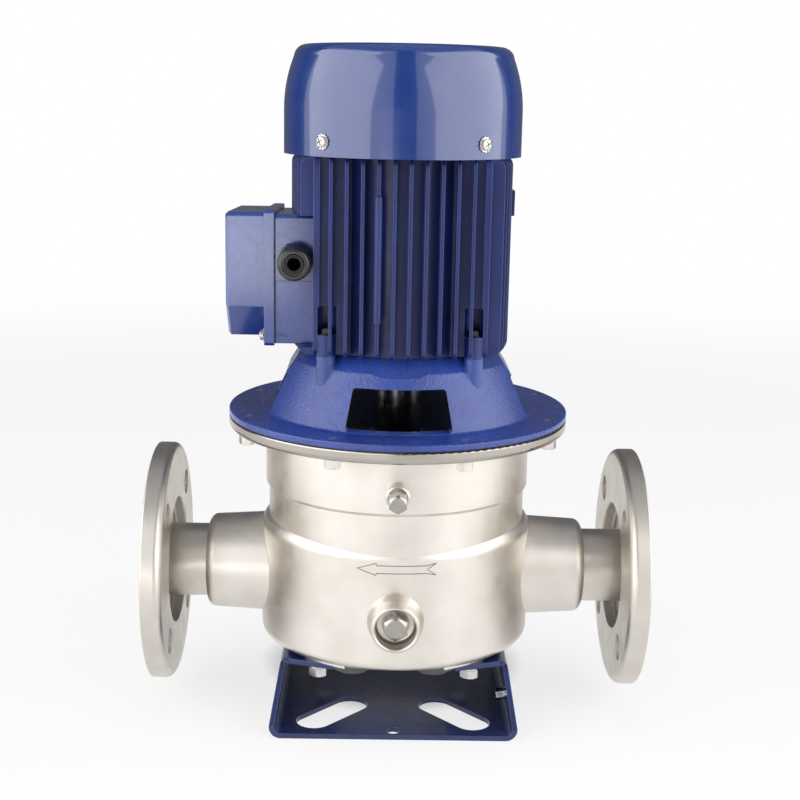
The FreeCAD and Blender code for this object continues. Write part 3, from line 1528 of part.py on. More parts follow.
def all_nodes():
    flange = port_flange()
    sleeve = port_sleeve()
    pipe = port_pipe()
    low = bearing_low_z()
    top = upper_bearing_z()
    return {
        "base_bracket": base_bracket(),
        "foot_pads": foot_pads(),
        "base_bolts": base_bolts(),
        "earth_screw": earth_screw(),
        "pump_casing": pump_casing(),
        "casing_bosses": casing_bosses(),
        "vent_plug": vent_plug(),
        "drain_plug": drain_plug(),
        "inlet_nozzle": sleeve,
        "outlet_nozzle": mirrored_x(sleeve),
        "inlet_pipe": pipe,
        "outlet_pipe": mirrored_x(pipe),
        "inlet_flange": flange,
        "outlet_flange": mirrored_x(flange),
        "suction_elbow": suction_elbow(),
        "wear_ring": wear_ring(),
        "impeller": impeller(),
        "impeller_nut": impeller_nut(),
        "pump_shaft": pump_shaft(),
        "coupling_screws": coupling_screws(),
        "shaft_keys": shaft_keys(),
        "casing_cover": casing_cover(),
        "cover_o_ring": cover_o_ring(),
        "seal_seat": seal_seat(),
        "seal_ring": seal_ring(),
        "seal_bellows": seal_bellows(),
        "casing_gasket": casing_gasket(),
        "casing_bolts": casing_bolts(),
        "lantern": lantern(),
        "lip_seal": lip_seal(),
        "motor_frame": motor_frame(),
        "stator_core": stator_core(),
        "stator_windings": stator_windings(),
        "rotor_core": rotor_core(),
        "motor_shaft": motor_shaft(),
        "lower_bearing_inner_ring": bearing_inner_ring(low),
        "lower_bearing_outer_ring": bearing_outer_ring(low),
        "lower_bearing_balls": bearing_balls(low),
        "lower_bearing_cage": bearing_cage(low),
        "upper_bearing_inner_ring": bearing_inner_ring(top),
        "upper_bearing_outer_ring": bearing_outer_ring(top),
        "upper_bearing_balls": bearing_balls(top),
        "upper_bearing_cage": bearing_cage(top),
        "wave_spring": wave_spring(),
        "end_shield": end_shield(),
        "end_shield_bolts": end_shield_bolts(),
        "frame_bolts": frame_bolts(),
        "cooling_fan": cooling_fan(),
        "fan_circlip": fan_circlip(),
        "fan_cowl": fan_cowl(),
        "cowl_screws": cowl_screws(),
        "terminal_box": terminal_box(),
        "terminal_box_gasket": terminal_box_gasket(),
        "terminal_box_lid": terminal_box_lid(),
        "lid_screws": lid_screws(),
        "terminal_board": terminal_board(),
        "terminal_studs": terminal_studs(),
        "gland_body": gland_body(),
        "gland_nut": gland_nut(),
        "gland_seal": gland_seal(),
    }


os.makedirs("parts", exist_ok=True)
for node, solid in all_nodes().items():
    save(node, solid)
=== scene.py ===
import math
import bmesh
import bpy
import numpy as np
from mathutils import Matrix, Vector


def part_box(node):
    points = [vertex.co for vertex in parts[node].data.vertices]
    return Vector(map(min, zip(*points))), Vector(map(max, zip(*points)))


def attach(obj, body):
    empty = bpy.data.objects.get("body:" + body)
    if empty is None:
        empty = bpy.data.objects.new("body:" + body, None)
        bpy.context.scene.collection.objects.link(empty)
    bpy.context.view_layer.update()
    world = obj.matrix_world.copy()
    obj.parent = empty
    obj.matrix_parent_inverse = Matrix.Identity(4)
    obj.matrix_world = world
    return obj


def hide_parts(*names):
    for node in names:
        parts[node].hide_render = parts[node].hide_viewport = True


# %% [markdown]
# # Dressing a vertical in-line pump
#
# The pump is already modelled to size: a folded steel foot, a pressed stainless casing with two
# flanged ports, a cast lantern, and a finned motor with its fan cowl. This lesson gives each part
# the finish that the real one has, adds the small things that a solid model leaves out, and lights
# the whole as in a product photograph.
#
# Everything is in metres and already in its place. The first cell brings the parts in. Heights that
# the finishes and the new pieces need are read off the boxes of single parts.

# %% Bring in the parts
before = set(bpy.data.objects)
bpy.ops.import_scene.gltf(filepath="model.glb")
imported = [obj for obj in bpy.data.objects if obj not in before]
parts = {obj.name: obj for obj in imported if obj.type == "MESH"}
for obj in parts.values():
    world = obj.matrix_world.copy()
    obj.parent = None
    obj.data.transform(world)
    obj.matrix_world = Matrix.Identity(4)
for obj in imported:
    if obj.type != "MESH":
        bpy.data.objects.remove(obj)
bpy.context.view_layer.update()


def middle_height(name):
    """Height of the middle of a part's box, in metres."""
    low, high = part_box(name)
    return (low.z + high.z) / 2


# %% [markdown]
# ## Colours and nodes
#
# Colours are easiest to pick as hex codes, as seen on a screen. The shader wants linear light, so
# one function converts them. A second function adds a shader node together with its settings and
# links, which keeps each material short enough to read as a recipe.

# %% Colour and node helpers
def linear(code):
    """sRGB hex to linear: c / 12.92 up to 0.04045, and ((c + 0.055) / 1.055) ** 2.4 above it."""
    shares = [int(code[i:i + 2], 16) / 255 for i in (1, 3, 5)]
    return tuple(c / 12.92 if c <= 0.04045 else ((c + 0.055) / 1.055) ** 2.4 for c in shares) + (1.0,)


def add(tree, kind, settings=None, inputs=None):
    """Adds one node. An input given as a socket is linked, and any other is a plain value."""
    node = tree.nodes.new(kind)
    for name, value in (settings or {}).items():
        setattr(node, name, value)
    for name, value in (inputs or {}).items():
        if isinstance(value, bpy.types.NodeSocket):
            tree.links.new(value, node.inputs[name])
        else:
            node.inputs[name].default_value = value
    return node


print("mid grey in linear light:", round(linear("#808080")[0], 3))

# %% [markdown]
# ## Patterns at their real size
#
# The model is in metres, so a pattern with features of one millimetre needs a texture scale of
# 1000. The wave texture counts otherwise: at scale 1 it turns through 20 radians per metre, and one
# wave is 2 pi radians. Two small functions keep that arithmetic out of the materials.

# %% Texture scales
def per_mm(size):
    """Scale of a noise whose features are this many millimetres wide: 1000 / size."""
    return 1000.0 / size


def per_wave(pitch):
    """Scale of a wave texture with this pitch in millimetres: 2 pi * (1000 / pitch) / 20."""
    return 2 * math.pi * per_mm(pitch) / 20


print("scales for 5 mm:", per_mm(5.0), "as noise and", round(per_wave(5.0), 1), "as waves")

# %% [markdown]
# ## A blank finish to start from
#
# Each material starts as the general-purpose shader plus the object's own coordinates. Values that
# are the same all over, such as how metallic a surface is, are set on the shader itself.

# %% Start a finish
def new_finish(name, **values):
    """A material with its node tree, its shader and the object coordinates to draw patterns with."""
    material = bpy.data.materials.new(name)
    material.use_nodes = True
    tree = material.node_tree
    shader = tree.nodes["Principled BSDF"]
    for socket, value in values.items():
        shader.inputs[socket.replace("_", " ")].default_value = value
    place = add(tree, "ShaderNodeTexCoord").outputs["Object"]
    return material, tree, shader, place


print("finishes so far:", len(bpy.data.materials))

# %% [markdown]
# ## Clouds
#
# No real surface has one flat colour. Paint dries thicker here and thinner there, and acid bites a
# steel skin unevenly. Smooth noise gives such soft blotches. A painted picture could do so too,
# but noise needs no unwrapping and never repeats.

# %% Cloudy colour and roughness
def mottle(tree, place, size, low, high, detail=3.0):
    """Cloudy variation between two values, with blotches of about this many millimetres. Noise stays
    mostly between 0.3 and 0.7, so that stretch is spread over the whole range."""
    cloud = add(tree, "ShaderNodeTexNoise", None,
                {"Vector": place, "Scale": per_mm(size), "Detail": detail})
    spread = add(tree, "ShaderNodeMapRange", None,
                 {"Value": cloud.outputs["Fac"], "From Min": 0.3, "From Max": 0.7,
                  "To Min": low, "To Max": high})
    return spread.outputs[0]


def drifting(tree, place, size, colours, detail=3.0):
    """Colour that drifts between two hex codes, in clouds of about this many millimetres."""
    first, second = map(linear, colours)
    tone = mottle(tree, place, size, 0.0, 1.0, detail)
    return add(tree, "ShaderNodeMix", {"data_type": "RGBA"}, {0: tone, 6: first, 7: second}).outputs[2]


def clouded(tree, shader, place, colours, colour_size, roughness, rough_size):
    """Lets the colour drift between two hex codes and the roughness between two values."""
    tree.links.new(drifting(tree, place, colour_size, colours), shader.inputs["Base Color"])
    tree.links.new(mottle(tree, place, rough_size, *roughness), shader.inputs["Roughness"])


print("a cloud of 25 mm has the scale", per_mm(25.0))

# %% [markdown]
# ## Fine relief and soft edges
#
# Grain and orange peel are a few hundredths of a millimetre deep, so they are drawn as relief in
# the shading and not in the mesh. The same goes for the small radius of every real edge. The solid
# model's edges are sharp, and a bevel node shades them as if they were rounded, which gives the
# thin bright lines that paint and metal have there. Where the rounded normal leans away from the
# true one, an edge is near, and the paint is drawn paler there: partly paint that is thin from wear,
# partly a painted highlight for the bright lines along the fins.

# %% Relief and edges
def relief(tree, shader, height, depth, rounding=None):
    """Relief this many millimetres deep, over edges shaded as if they had a radius of `rounding`
    millimetres. Returns the normal of the rounded edges and the one with the relief on it."""
    bump = add(tree, "ShaderNodeBump", None, {"Height": height, "Distance": depth / 1000, "Strength": 1.0})
    rounded = None
    if rounding:
        bevel = add(tree, "ShaderNodeBevel", {"samples": 4}, {"Radius": rounding / 1000})
        rounded = bevel.outputs["Normal"]
        tree.links.new(rounded, bump.inputs["Normal"])
    tree.links.new(bump.outputs["Normal"], shader.inputs["Normal"])
    return rounded, bump.outputs["Normal"]


def paler_edges(tree, body, worn, rounded):
    """The body colour with up to 55 % of a paler one at the edges, as the cosine of the angle between
    the rounded and the true normal falls from 0.98 to 0.8. The paler tone is partly wear and partly a
    painted highlight."""
    true = add(tree, "ShaderNodeNewGeometry").outputs["Normal"]
    lean = add(tree, "ShaderNodeVectorMath", {"operation": "DOT_PRODUCT"}, {0: rounded, 1: true})
    mask = add(tree, "ShaderNodeMapRange", None,
               {"Value": lean.outputs["Value"], "From Min": 0.98, "From Max": 0.8,
                "To Min": 0.0, "To Max": 0.55})
    # Painted highlight: a paler tone along every edge, partly also paint that is thin there from wear.
    return add(tree, "ShaderNodeMix", {"data_type": "RGBA"},
               {0: mask.outputs[0], 6: body, 7: linear(worn)}).outputs[2]


print("an edge shows from a lean of", round(math.degrees(math.acos(0.98))), "degrees")

# %% [markdown]
# ## Blue enamel
#
# The motor and the lantern are painted in one royal blue, but on different grounds. The fan cowl is
# drawn from smooth sheet and enamelled, so it mirrors the lamps in soft wide bands.
#
# Paint is a plastic layer over a pigment: not metallic, with a clear coat on top that gives the
# sharp part of the reflection. The base underneath stays rougher. One rough layer alone would give
# either the soft glow or the sharp bands, and the real cowl shows both.

# %% Enamel on smooth sheet
def enamel(name, colours):
    """Glossy sprayed enamel with a faint orange peel: waves of 3 mm, 0.02 mm deep."""
    material, tree, shader, place = new_finish(name, Coat_Weight=1.0, Coat_Roughness=0.07,
                                               Coat_IOR=1.6, IOR=1.5)
    clouded(tree, shader, place, colours, 60.0, (0.24, 0.34), 12.0)
    peel = add(tree, "ShaderNodeTexNoise", None, {"Vector": place, "Scale": per_mm(3.0), "Detail": 1.0})
    relief(tree, shader, peel.outputs["Fac"], 0.02, 0.8)
    return material


blue_enamel = enamel("enamel_royal_blue", ("#15377f", "#123174"))
print(blue_enamel.name)

# %% [markdown]
# ## Paint on castings and on the foot
#
# The finned frame and the terminal box are die castings: their skin is smooth, and the paint is
# drawn paler along the edges of the fins, partly as wear and partly as a painted highlight. The
# frame's blue is darker than the box's, which is painted shade for the gaps between its fins. The
# lantern is a sand casting, and its grainy skin breaks every highlight into specks, so there the
# gloss has to follow the grain as well. The foot is folded from sheet and painted thin. All are one
# recipe with other numbers, and so is the dark blue of the cover plate behind the lantern's windows,
# which is painted shade for the dim inside of the lantern.

# %% Paint on a grainy ground
def cast_paint(name, colours, worn, grain, depth, roughness, coat, rounding=0.9, coarse=False):
    """Paint over a casting. Grain, depth of the relief and rounding of the edges are in millimetres.
    The gloss follows the rounded edges, and on a coarse casting it follows the grain too."""
    material, tree, shader, place = new_finish(name, Coat_Weight=coat, Coat_Roughness=0.12, IOR=1.5)
    skin = add(tree, "ShaderNodeTexNoise", None,
               {"Vector": place, "Scale": per_mm(grain), "Detail": 4.0, "Roughness": 0.6})
    rounded, grainy = relief(tree, shader, skin.outputs["Fac"], depth, rounding)
    tree.links.new(grainy if coarse else rounded, shader.inputs["Coat Normal"])
    body = drifting(tree, place, 25.0, colours)
    # Edges drawn paler, partly wear and partly painted highlight.
    tree.links.new(paler_edges(tree, body, worn, rounded), shader.inputs["Base Color"])
    tree.links.new(mottle(tree, place, 5.0, *roughness), shader.inputs["Roughness"])
    return material


# Painted shade: the frame's blue is darker than the box's and the lantern's, so that the gaps between its
# fins come out dark.
blue_die_cast = cast_paint("finned_casting_paint_with_painted_fin_shade", ("#10286e", "#0b1e5a"), "#7084bb",
                           1.6, 0.06, (0.4, 0.5), 0.12)
blue_box = cast_paint("painted_terminal_box", ("#203f8c", "#1b3880"), "#6479b2",
                      1.6, 0.05, (0.22, 0.32), 1.0, 0.8)
blue_sand_cast = cast_paint("painted_sand_cast_iron", ("#1e3f96", "#183383"), "#5e76bb",
                            1.8, 0.5, (0.3, 0.5), 0.7, coarse=True)
blue_sheet = cast_paint("painted_folded_sheet", ("#162a64", "#11204e"), "#4a5f9c",
                        2.5, 0.03, (0.3, 0.45), 0.5)
# Painted shade: the cover plate is coloured a dark blue so that the inside of the lantern looks dim through
# its windows.
dark_cover = cast_paint("cover_plate_painted_dark_for_shade", ("#1b2140", "#151a33"), "#3c4366",
                        2.0, 0.05, (0.4, 0.55), 0.3)
print(blue_die_cast.name, blue_box.name, blue_sand_cast.name, blue_sheet.name, dark_cover.name)

# %% [markdown]
# ## Satin stainless steel
#
# The casing is pressed from stainless sheet, then blasted and pickled. That leaves a satin skin
# without direction: broad soft highlights, slightly warm, with faint clouds where the acid bit more.
# Only its rim is turned on a lathe, so that the lantern sits true, and looks darker and sharper. The
# rim is no part of its own, so the material changes at the rim's height instead.
#
# The blasted grain is about 0.4 mm wide. It is drawn at 0.9 mm, so that it shows.

# %% Blasted and pickled steel
turned_colour, turned_rough, turned_change = "#b5b0a8", 0.24, 0.0006


def satin_steel(name, colours, roughness, depth, turned_above=None):
    """Blasted and pickled stainless, with relief this many millimetres deep. Above a given height, in
    metres, the skin is turned."""
    material, tree, shader, place = new_finish(name, Metallic=1.0)
    tone = drifting(tree, place, 30.0, colours, 5.0)
    rough = mottle(tree, place, 9.0, *roughness)
    if turned_above:
        height = add(tree, "ShaderNodeSeparateXYZ", None, {"Vector": place}).outputs["Z"]
        turned = add(tree, "ShaderNodeMapRange", None,
                     {"Value": height, "From Min": turned_above, "From Max": turned_above + turned_change})
        tone = add(tree, "ShaderNodeMix", {"data_type": "RGBA"},
                   {0: turned.outputs[0], 6: tone, 7: linear(turned_colour)}).outputs[2]
        rough = add(tree, "ShaderNodeMix", {"data_type": "FLOAT"},
                    {0: turned.outputs[0], 2: rough, 3: turned_rough}).outputs[0]
    tree.links.new(tone, shader.inputs["Base Color"])
    tree.links.new(rough, shader.inputs["Roughness"])
    grain = add(tree, "ShaderNodeTexNoise", None, {"Vector": place, "Scale": per_mm(0.9), "Detail": 2.0})
    relief(tree, shader, grain.outputs["Fac"], depth, 0.6)
    return material


rim_bolt_head, below_rim = 0.006, 0.0003
rim_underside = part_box("casing_bolts")[0].z + rim_bolt_head
turned_from = rim_underside - below_rim
sheet_tones, sheet_rough = ("#e9e4dd", "#dcd6ce"), (0.37, 0.46)
steel_pressed = satin_steel("blasted_stainless_sheet", sheet_tones, sheet_rough, 0.03)
steel_casing = satin_steel("blasted_casing_with_turned_rim", sheet_tones, sheet_rough, 0.03, turned_from)
steel_cast = satin_steel("pickled_stainless_fittings", ("#e2ddd6", "#d2ccc3"), (0.32, 0.42), 0.02)
print("rim from", round(1000 * rim_underside, 1), "mm up")

# %% [markdown]
# ## Turned flanges
#
# The flanges are faced on a lathe, and the tool leaves rings about the port's axis. Rings need a
# centre, so a Mapping node moves the pattern to the height of the ports, which is measured on the
# flange itself. Real rings lie a fraction of a millimetre apart. They are drawn 5 mm apart and very
# shallow, because finer ones would only flicker at this distance.

# %% Steel faced on a lathe
def turned_steel(name, colours, axis_height, pitch):
    """Rings of this pitch, in millimetres, about a line along X at this height, in metres."""
    material, tree, shader, place = new_finish(name, Metallic=1.0)
    clouded(tree, shader, place, colours, 14.0, (0.38, 0.46), 14.0)
    centred = add(tree, "ShaderNodeMapping", {"vector_type": "POINT"},
                  {"Vector": place, "Location": (0.0, 0.0, -axis_height)}).outputs["Vector"]
    rings = add(tree, "ShaderNodeTexWave", {"wave_type": "RINGS", "rings_direction": "X"},
                {"Vector": centred, "Scale": per_wave(pitch), "Distortion": 0.0})
    relief(tree, shader, rings.outputs["Fac"], 0.008, 0.5)
    return material


port_height = middle_height("inlet_flange")
steel_turned = turned_steel("turned_stainless_flange", ("#dad5cd", "#d3cdc5"), port_height, 5.03)
print("port axis at", round(1000 * port_height, 1), "mm")

# %% [markdown]
# ## Fasteners, shafts and bearings
#
# Zinc-plated bolts are bright but cloudy. Phosphated ones are nearly black. Ground shafts and
# bearing races are smoother and sharper, and bare die-cast aluminium is duller. All are a metal with
# small clouds and an almost flat skin, so one recipe serves. The threads are out of sight, inside
# other parts or in the terminal box, so none is drawn.

# %% Plated, turned and ground metal
def smooth_metal(name, colours, roughness):
    """Smooth metal: clouds of 7 mm in the colour and 5 mm in the roughness, 0.003 mm of relief."""
    material, tree, shader, place = new_finish(name, Metallic=1.0)
    clouded(tree, shader, place, colours, 7.0, roughness, 5.0)
    skin = add(tree, "ShaderNodeTexNoise", None, {"Vector": place, "Scale": per_mm(1.5)})
    relief(tree, shader, skin.outputs["Fac"], 0.003, 0.3)
    return material


zinc_plated = smooth_metal("zinc_plated_steel", ("#dcdcd8", "#c6c6c4"), (0.2, 0.3))
turned_plug = smooth_metal("turned_stainless_plug", ("#b2aea8", "#a4a099"), (0.24, 0.32))
phosphated_bolt = smooth_metal("phosphated_bolt_steel", ("#4a4b4e", "#3a3b3e"), (0.3, 0.42))
stainless_bolt = smooth_metal("cold_forged_stainless", ("#e2ded8", "#d2cec8"), (0.24, 0.34))
ground_steel = smooth_metal("ground_shaft_steel", ("#a9a8a6", "#8f8e8c"), (0.16, 0.26))
bearing_steel = smooth_metal("lapped_bearing_steel", ("#c4c4c6", "#b0b0b3"), (0.08, 0.14))
cast_aluminium = smooth_metal("die_cast_aluminium", ("#b9babc", "#a3a4a7"), (0.35, 0.5))
brass = smooth_metal("drawn_brass", ("#cfa65a", "#b78c43"), (0.2, 0.3))
print(zinc_plated.name, stainless_bolt.name, ground_steel.name, bearing_steel.name, cast_aluminium.name)

# %% [markdown]
# ## Rubber and plastics
#
# Seals are nitrile rubber, dull and nearly black. The cable gland and the fan are moulded nylon,
# whose fine grain comes from a spark-eroded mould. The terminal board is brown phenolic resin, and
# the shaft seal runs on lapped carbon. Real mould grain is about 0.1 mm wide, and these grains are
# drawn several times as coarse, so that they show.

# %% Moulded materials
def moulded(name, colours, roughness, grain, depth, ior=1.5, gloss=0.0):
    """Moulded plastic or rubber with an even grain, and a gloss where the mould was polished."""
    material, tree, shader, place = new_finish(name, IOR=ior, Coat_Weight=gloss, Coat_Roughness=0.12)
    clouded(tree, shader, place, colours, 8.0, roughness, 3.0)
    skin = add(tree, "ShaderNodeTexNoise", None, {"Vector": place, "Scale": per_mm(grain), "Detail": 2.0})
    relief(tree, shader, skin.outputs["Fac"], depth)
    return material


black_rubber = moulded("nitrile_rubber", ("#121212", "#1c1c1c"), (0.5, 0.62), 1.2, 0.03)
black_nylon = moulded("moulded_black_nylon", ("#0e0f10", "#16171a"), (0.3, 0.42), 0.7, 0.02, gloss=0.5)
board_resin = moulded("moulded_phenolic_board", ("#4a2c1e", "#593729"), (0.35, 0.5), 1.0, 0.02)
seal_carbon = moulded("lapped_seal_carbon", ("#2b2c2e", "#37383b"), (0.12, 0.2), 0.5, 0.004, ior=2.0)
print(black_rubber.name, black_nylon.name, board_resin.name, seal_carbon.name)

# %% [markdown]
# ## Laminated iron and wound wire
#
# These are out of sight inside the motor, but anyone who opens the model will see them. The
# stator's core is a stack of sheets, and its winding lies in bundles of glossy enamelled wire. Both
# are parallel lines, so a wave texture draws them. It draws packets of sheets and bundles of wire,
# because single sheets and wires are too fine to show.

# %% Parallel lines
def ribbed(name, colour, shade, metallic, rough, pitch, depth, direction):
    """Slightly uneven lines with this pitch in millimetres. DIAGONAL lines come out 15 % wider."""
    material, tree, shader, place = new_finish(name, Metallic=metallic)
    wave = add(tree, "ShaderNodeTexWave", {"wave_type": "BANDS", "bands_direction": direction},
               {"Vector": place, "Scale": per_wave(pitch), "Distortion": 0.6, "Detail": 1.0})
    lines = wave.outputs["Fac"]
    tone = add(tree, "ShaderNodeMix", {"data_type": "RGBA"},
               {0: lines, 6: linear(shade), 7: linear(colour)})
    tree.links.new(tone.outputs[2], shader.inputs["Base Color"])
    tree.links.new(mottle(tree, place, 6.0, rough, rough + 0.12), shader.inputs["Roughness"])
    relief(tree, shader, lines, depth)
    return material


core_sheets = ribbed("laminated_core_iron", "#8b8a88", "#4d4b4a", 0.9, 0.4, 6.28, 0.1, "Z")
copper_wire = ribbed("enamelled_copper_wire", "#b8632c", "#6d3415", 0.7, 0.28, 8.8, 0.4, "DIAGONAL")
print(core_sheets.name, copper_wire.name)

# %% [markdown]
# ## Which part has which finish
#
# A table from finish to part names keeps the whole choice in one place. The parts keep their own
# meshes; only the material in each slot is changed.

# %% Dress the parts
wardrobe = {
    blue_enamel: ["fan_cowl"],
    blue_die_cast: ["motor_frame", "end_shield"],
    blue_box: ["terminal_box", "terminal_box_lid"],
    blue_sand_cast: ["lantern"],
    blue_sheet: ["base_bracket"],
    dark_cover: ["casing_cover"],
    steel_casing: ["pump_casing"],
    steel_pressed: ["inlet_nozzle", "outlet_nozzle", "foot_pads"],
    steel_cast: ["casing_bosses", "inlet_pipe", "outlet_pipe", "suction_elbow", "impeller", "impeller_nut",
                 "wear_ring"],
    turned_plug: ["vent_plug", "drain_plug"],
    steel_turned: ["inlet_flange", "outlet_flange"],
    zinc_plated: ["base_bolts", "earth_screw", "casing_bolts", "wave_spring", "end_shield_bolts",
                  "frame_bolts", "cowl_screws", "lid_screws"],
    ground_steel: ["pump_shaft", "motor_shaft", "coupling_screws", "shaft_keys", "fan_circlip"],
    core_sheets: ["stator_core"],
    cast_aluminium: ["rotor_core"],
    bearing_steel: [name for name in parts if "_bearing_" in name],
    black_rubber: ["cover_o_ring", "seal_bellows", "casing_gasket", "lip_seal", "terminal_box_gasket",
                   "gland_seal"],
    seal_carbon: ["seal_seat", "seal_ring"],
    copper_wire: ["stator_windings"],
    black_nylon: ["cooling_fan", "gland_body", "gland_nut"],
    board_resin: ["terminal_board"],
    brass: ["terminal_studs"],
}
for finish, names in wardrobe.items():
    for name in names:
        for spot in parts[name].material_slots:
            spot.material = finish
dressed = sum(len(names) for names in wardrobe.values())
print("dressed", dressed, "of", len(parts), "parts")

# %% [markdown]
# ## Putting a computed surface into a mesh
#
# Every extra piece below is a surface of two parameters: a grid of points, row after row. One
# function joins neighbours into quads. A grid can close on itself in either direction, as a tube
# or a ring does. Blender's own primitives could stand in for some pieces, but a grid keeps the
# formula of each shape in sight.

# %% Grid to mesh
def grid_quads(rows, columns, close_rows, close_columns):
    """Index quads that join the neighbours of a grid. They face along (row step) x (column step)."""
    i = np.arange(rows if close_rows else rows - 1)[:, None]
    j = np.arange(columns if close_columns else columns - 1)[None, :]
    ahead, beside = (i + 1) % rows, (j + 1) % columns
    corners = np.broadcast_arrays(i * columns + j, ahead * columns + j,
                                  ahead * columns + beside, i * columns + beside)
    return np.stack(corners, axis=-1).reshape(-1, 4)


def surface(name, patches, sharp=35.0):
    """One object from patches (grid, close_rows, close_columns), each grid shaped (rows, columns, 3).
    Points that meet at poles are merged, and edges that turn by more than `sharp` degrees stay crisp."""
    starts = np.cumsum([0] + [grid.shape[0] * grid.shape[1] for grid, _, _ in patches])
    points = np.concatenate([grid.reshape(-1, 3) for grid, _, _ in patches])
    faces = np.concatenate([grid_quads(*grid.shape[:2], rows, columns) + start
                            for (grid, rows, columns), start in zip(patches, starts)])
    mesh = bpy.data.meshes.new(name)
    mesh.from_pydata(points.tolist(), [], faces.tolist())
    shell = bmesh.new()
    shell.from_mesh(mesh)
    bmesh.ops.remove_doubles(shell, verts=shell.verts, dist=1e-7)
    shell.to_mesh(mesh)
    shell.free()
    mesh.shade_smooth()
    mesh.set_sharp_from_angle(angle=math.radians(sharp))
    piece = bpy.data.objects.new(name, mesh)
    bpy.context.scene.collection.objects.link(piece)
    return piece


print("a tube of 5 by 8 points has", len(grid_quads(5, 8, False, True)), "faces")

# %% [markdown]
# ## Handing a piece over
#
# A new piece needs more than its shape: its finish, the body that it moves with, and the plain parts
# that it stands for, which are hidden. One function does all three, so that none is forgotten.

# %% Finish a piece
def finish_piece(piece, material, body, slot, *stands_for):
    """Gives a new piece its finish and its body, and hides the parts that it stands for. The slot is not
    used.
    """
    piece.data.materials.append(material)
    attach(piece, body)
    if stands_for:
        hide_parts(*stands_for)
    print(piece.name, len(piece.data.polygons), "faces")


print("plain sets of fasteners:", [name for name in parts if name.endswith(("_bolts", "_screws"))])

# %% [markdown]
# ## The wall and the outline of the flow arrow
#
# A pump shows its flow direction on the casing. Here an outlined arrow is etched into the bowl and
# points from the suction port to the discharge port. The bowl is slightly oval, so a point of the
# flat outline is laid on an ellipse and lifted off it along the ellipse's normal.
#
# The arrow could be a line in the bowl's material, but a thin strip of mesh keeps its crisp width
# at any distance, and the export shows it as a piece of its own.

# %% Points on the bowl
bowl_half_x, bowl_half_y = 0.0935, 0.0886


def on_bowl(x, z, out):
    """Point on the elliptical bowl, y = -b * sqrt(1 - (x / a) ** 2), moved outward by `out`."""
    y = -bowl_half_y * np.sqrt(1.0 - (x / bowl_half_x) ** 2)
    normal = np.stack([x / bowl_half_x ** 2, y / bowl_half_y ** 2, np.zeros_like(x)], axis=-1)
    normal /= np.linalg.norm(normal, axis=-1, keepdims=True)
    return np.stack([x, y, z], axis=-1) + normal * np.asarray(out)[..., None]


def densify(corners, step):
    """Points along a closed outline, about this far apart, corners included."""
    points = []
    for here, following in zip(corners, np.roll(corners, -1, axis=0)):
        count = max(1, int(np.ceil(np.linalg.norm(following - here) / step)))
        share = np.arange(count)[:, None] / count
        points.append(here + (following - here) * share)
    return np.concatenate(points)


print("the bowl is", round(2000 * bowl_half_x), "by", round(2000 * bowl_half_y), "mm")

# %% [markdown]
# ## The etched line
#
# The outline is a closed path. At each of its points a small cross-section is set up: half the
# line's width to either side, and four corners from just inside the wall to just above it.

# %% Etched arrow
arrow_height, arrow_tip, arrow_end = 0.1222, -0.0255, 0.026
shaft_half, head_half, head_length, tail_notch = 0.0026, 0.0041, 0.0125, 0.006
line_width, line_rise, line_sink, path_step = 0.0005, 0.00012, -0.00005, 0.0015

head_back, notch = arrow_tip + head_length, arrow_end - tail_notch
upper_side = [(head_back, head_half), (head_back, shaft_half), (notch, shaft_half), (arrow_end, head_half)]
lower_side = [(x, -z) for x, z in reversed(upper_side)]
arrow = np.array([(arrow_tip, 0.0), *upper_side, (notch, 0.0), *lower_side])
path = densify(arrow, path_step)
along = np.roll(path, -1, axis=0) - np.roll(path, 1, axis=0)
along /= np.linalg.norm(along, axis=1, keepdims=True)
across = np.stack([-along[:, 1], along[:, 0]], axis=1) * line_width / 2
section = [(1.0, line_sink), (1.0, line_rise), (-1.0, line_rise), (-1.0, line_sink)]
strip = np.stack([on_bowl(path[:, 0] + across[:, 0] * side,
                          arrow_height + path[:, 1] + across[:, 1] * side,
                          np.full(len(path), rise)) for side, rise in section], axis=1)
etched = smooth_metal("etched_line_in_stainless", ("#8f8a82", "#7b766e"), (0.4, 0.5))
finish_piece(surface("flow_arrow", [(strip, True, True)]), etched, "pump_body", "stainless")

# %% [markdown]
# ## Surfaces for bolts and screws
#
# Everything on a bolt is drawn round its own axis, so each shape is a grid of rows from the middle
# of its outer end, over the rim and down to its foot, with the columns going round. A head is
# worked out at the origin, pointing up, and is then stood on its seat.

# %% Shapes round an axis
def lathe(profile, columns=48):
    """Surface of revolution: (r cos t, r sin t, z) for each (r, z) of the profile and each turn t."""
    radius, height = np.array(profile, dtype=float).T[:, :, None]
    turn = np.linspace(0.0, 2 * np.pi, columns, endpoint=False)[None, :]
    return np.stack([radius * np.cos(turn), radius * np.sin(turn), height + 0.0 * turn], axis=-1)


def hexagon_head(flats, low, high, spin=0.0):
    """Hexagon head. Its side at turn t lies at (flats / 2) / cos(t mod 60 - 30 degrees). Outside a
    circle of 0.46 times the width across the flats, the top falls away as a cone of 30 degrees."""
    turn = np.linspace(0.0, 2 * np.pi, 72, endpoint=False)[None, :]
    side = flats / 2 / np.cos((turn - spin) % (np.pi / 3) - np.pi / 6)
    ring = 0.46 * flats
    inner = np.linspace(0.0, 1.0, 4)[:, None] * ring + 0.0 * turn
    outer = ring + (side - ring) * np.linspace(0.25, 1.0, 4)[:, None]
    radius = np.concatenate([inner, outer, side, 0.0 * turn])
    height = np.concatenate([high + 0.0 * inner, high - (outer - ring) * math.tan(math.radians(30)),
                             low + 0.0 * turn, low + 0.0 * turn])
    return np.stack([radius * np.cos(turn), radius * np.sin(turn), height], axis=-1)


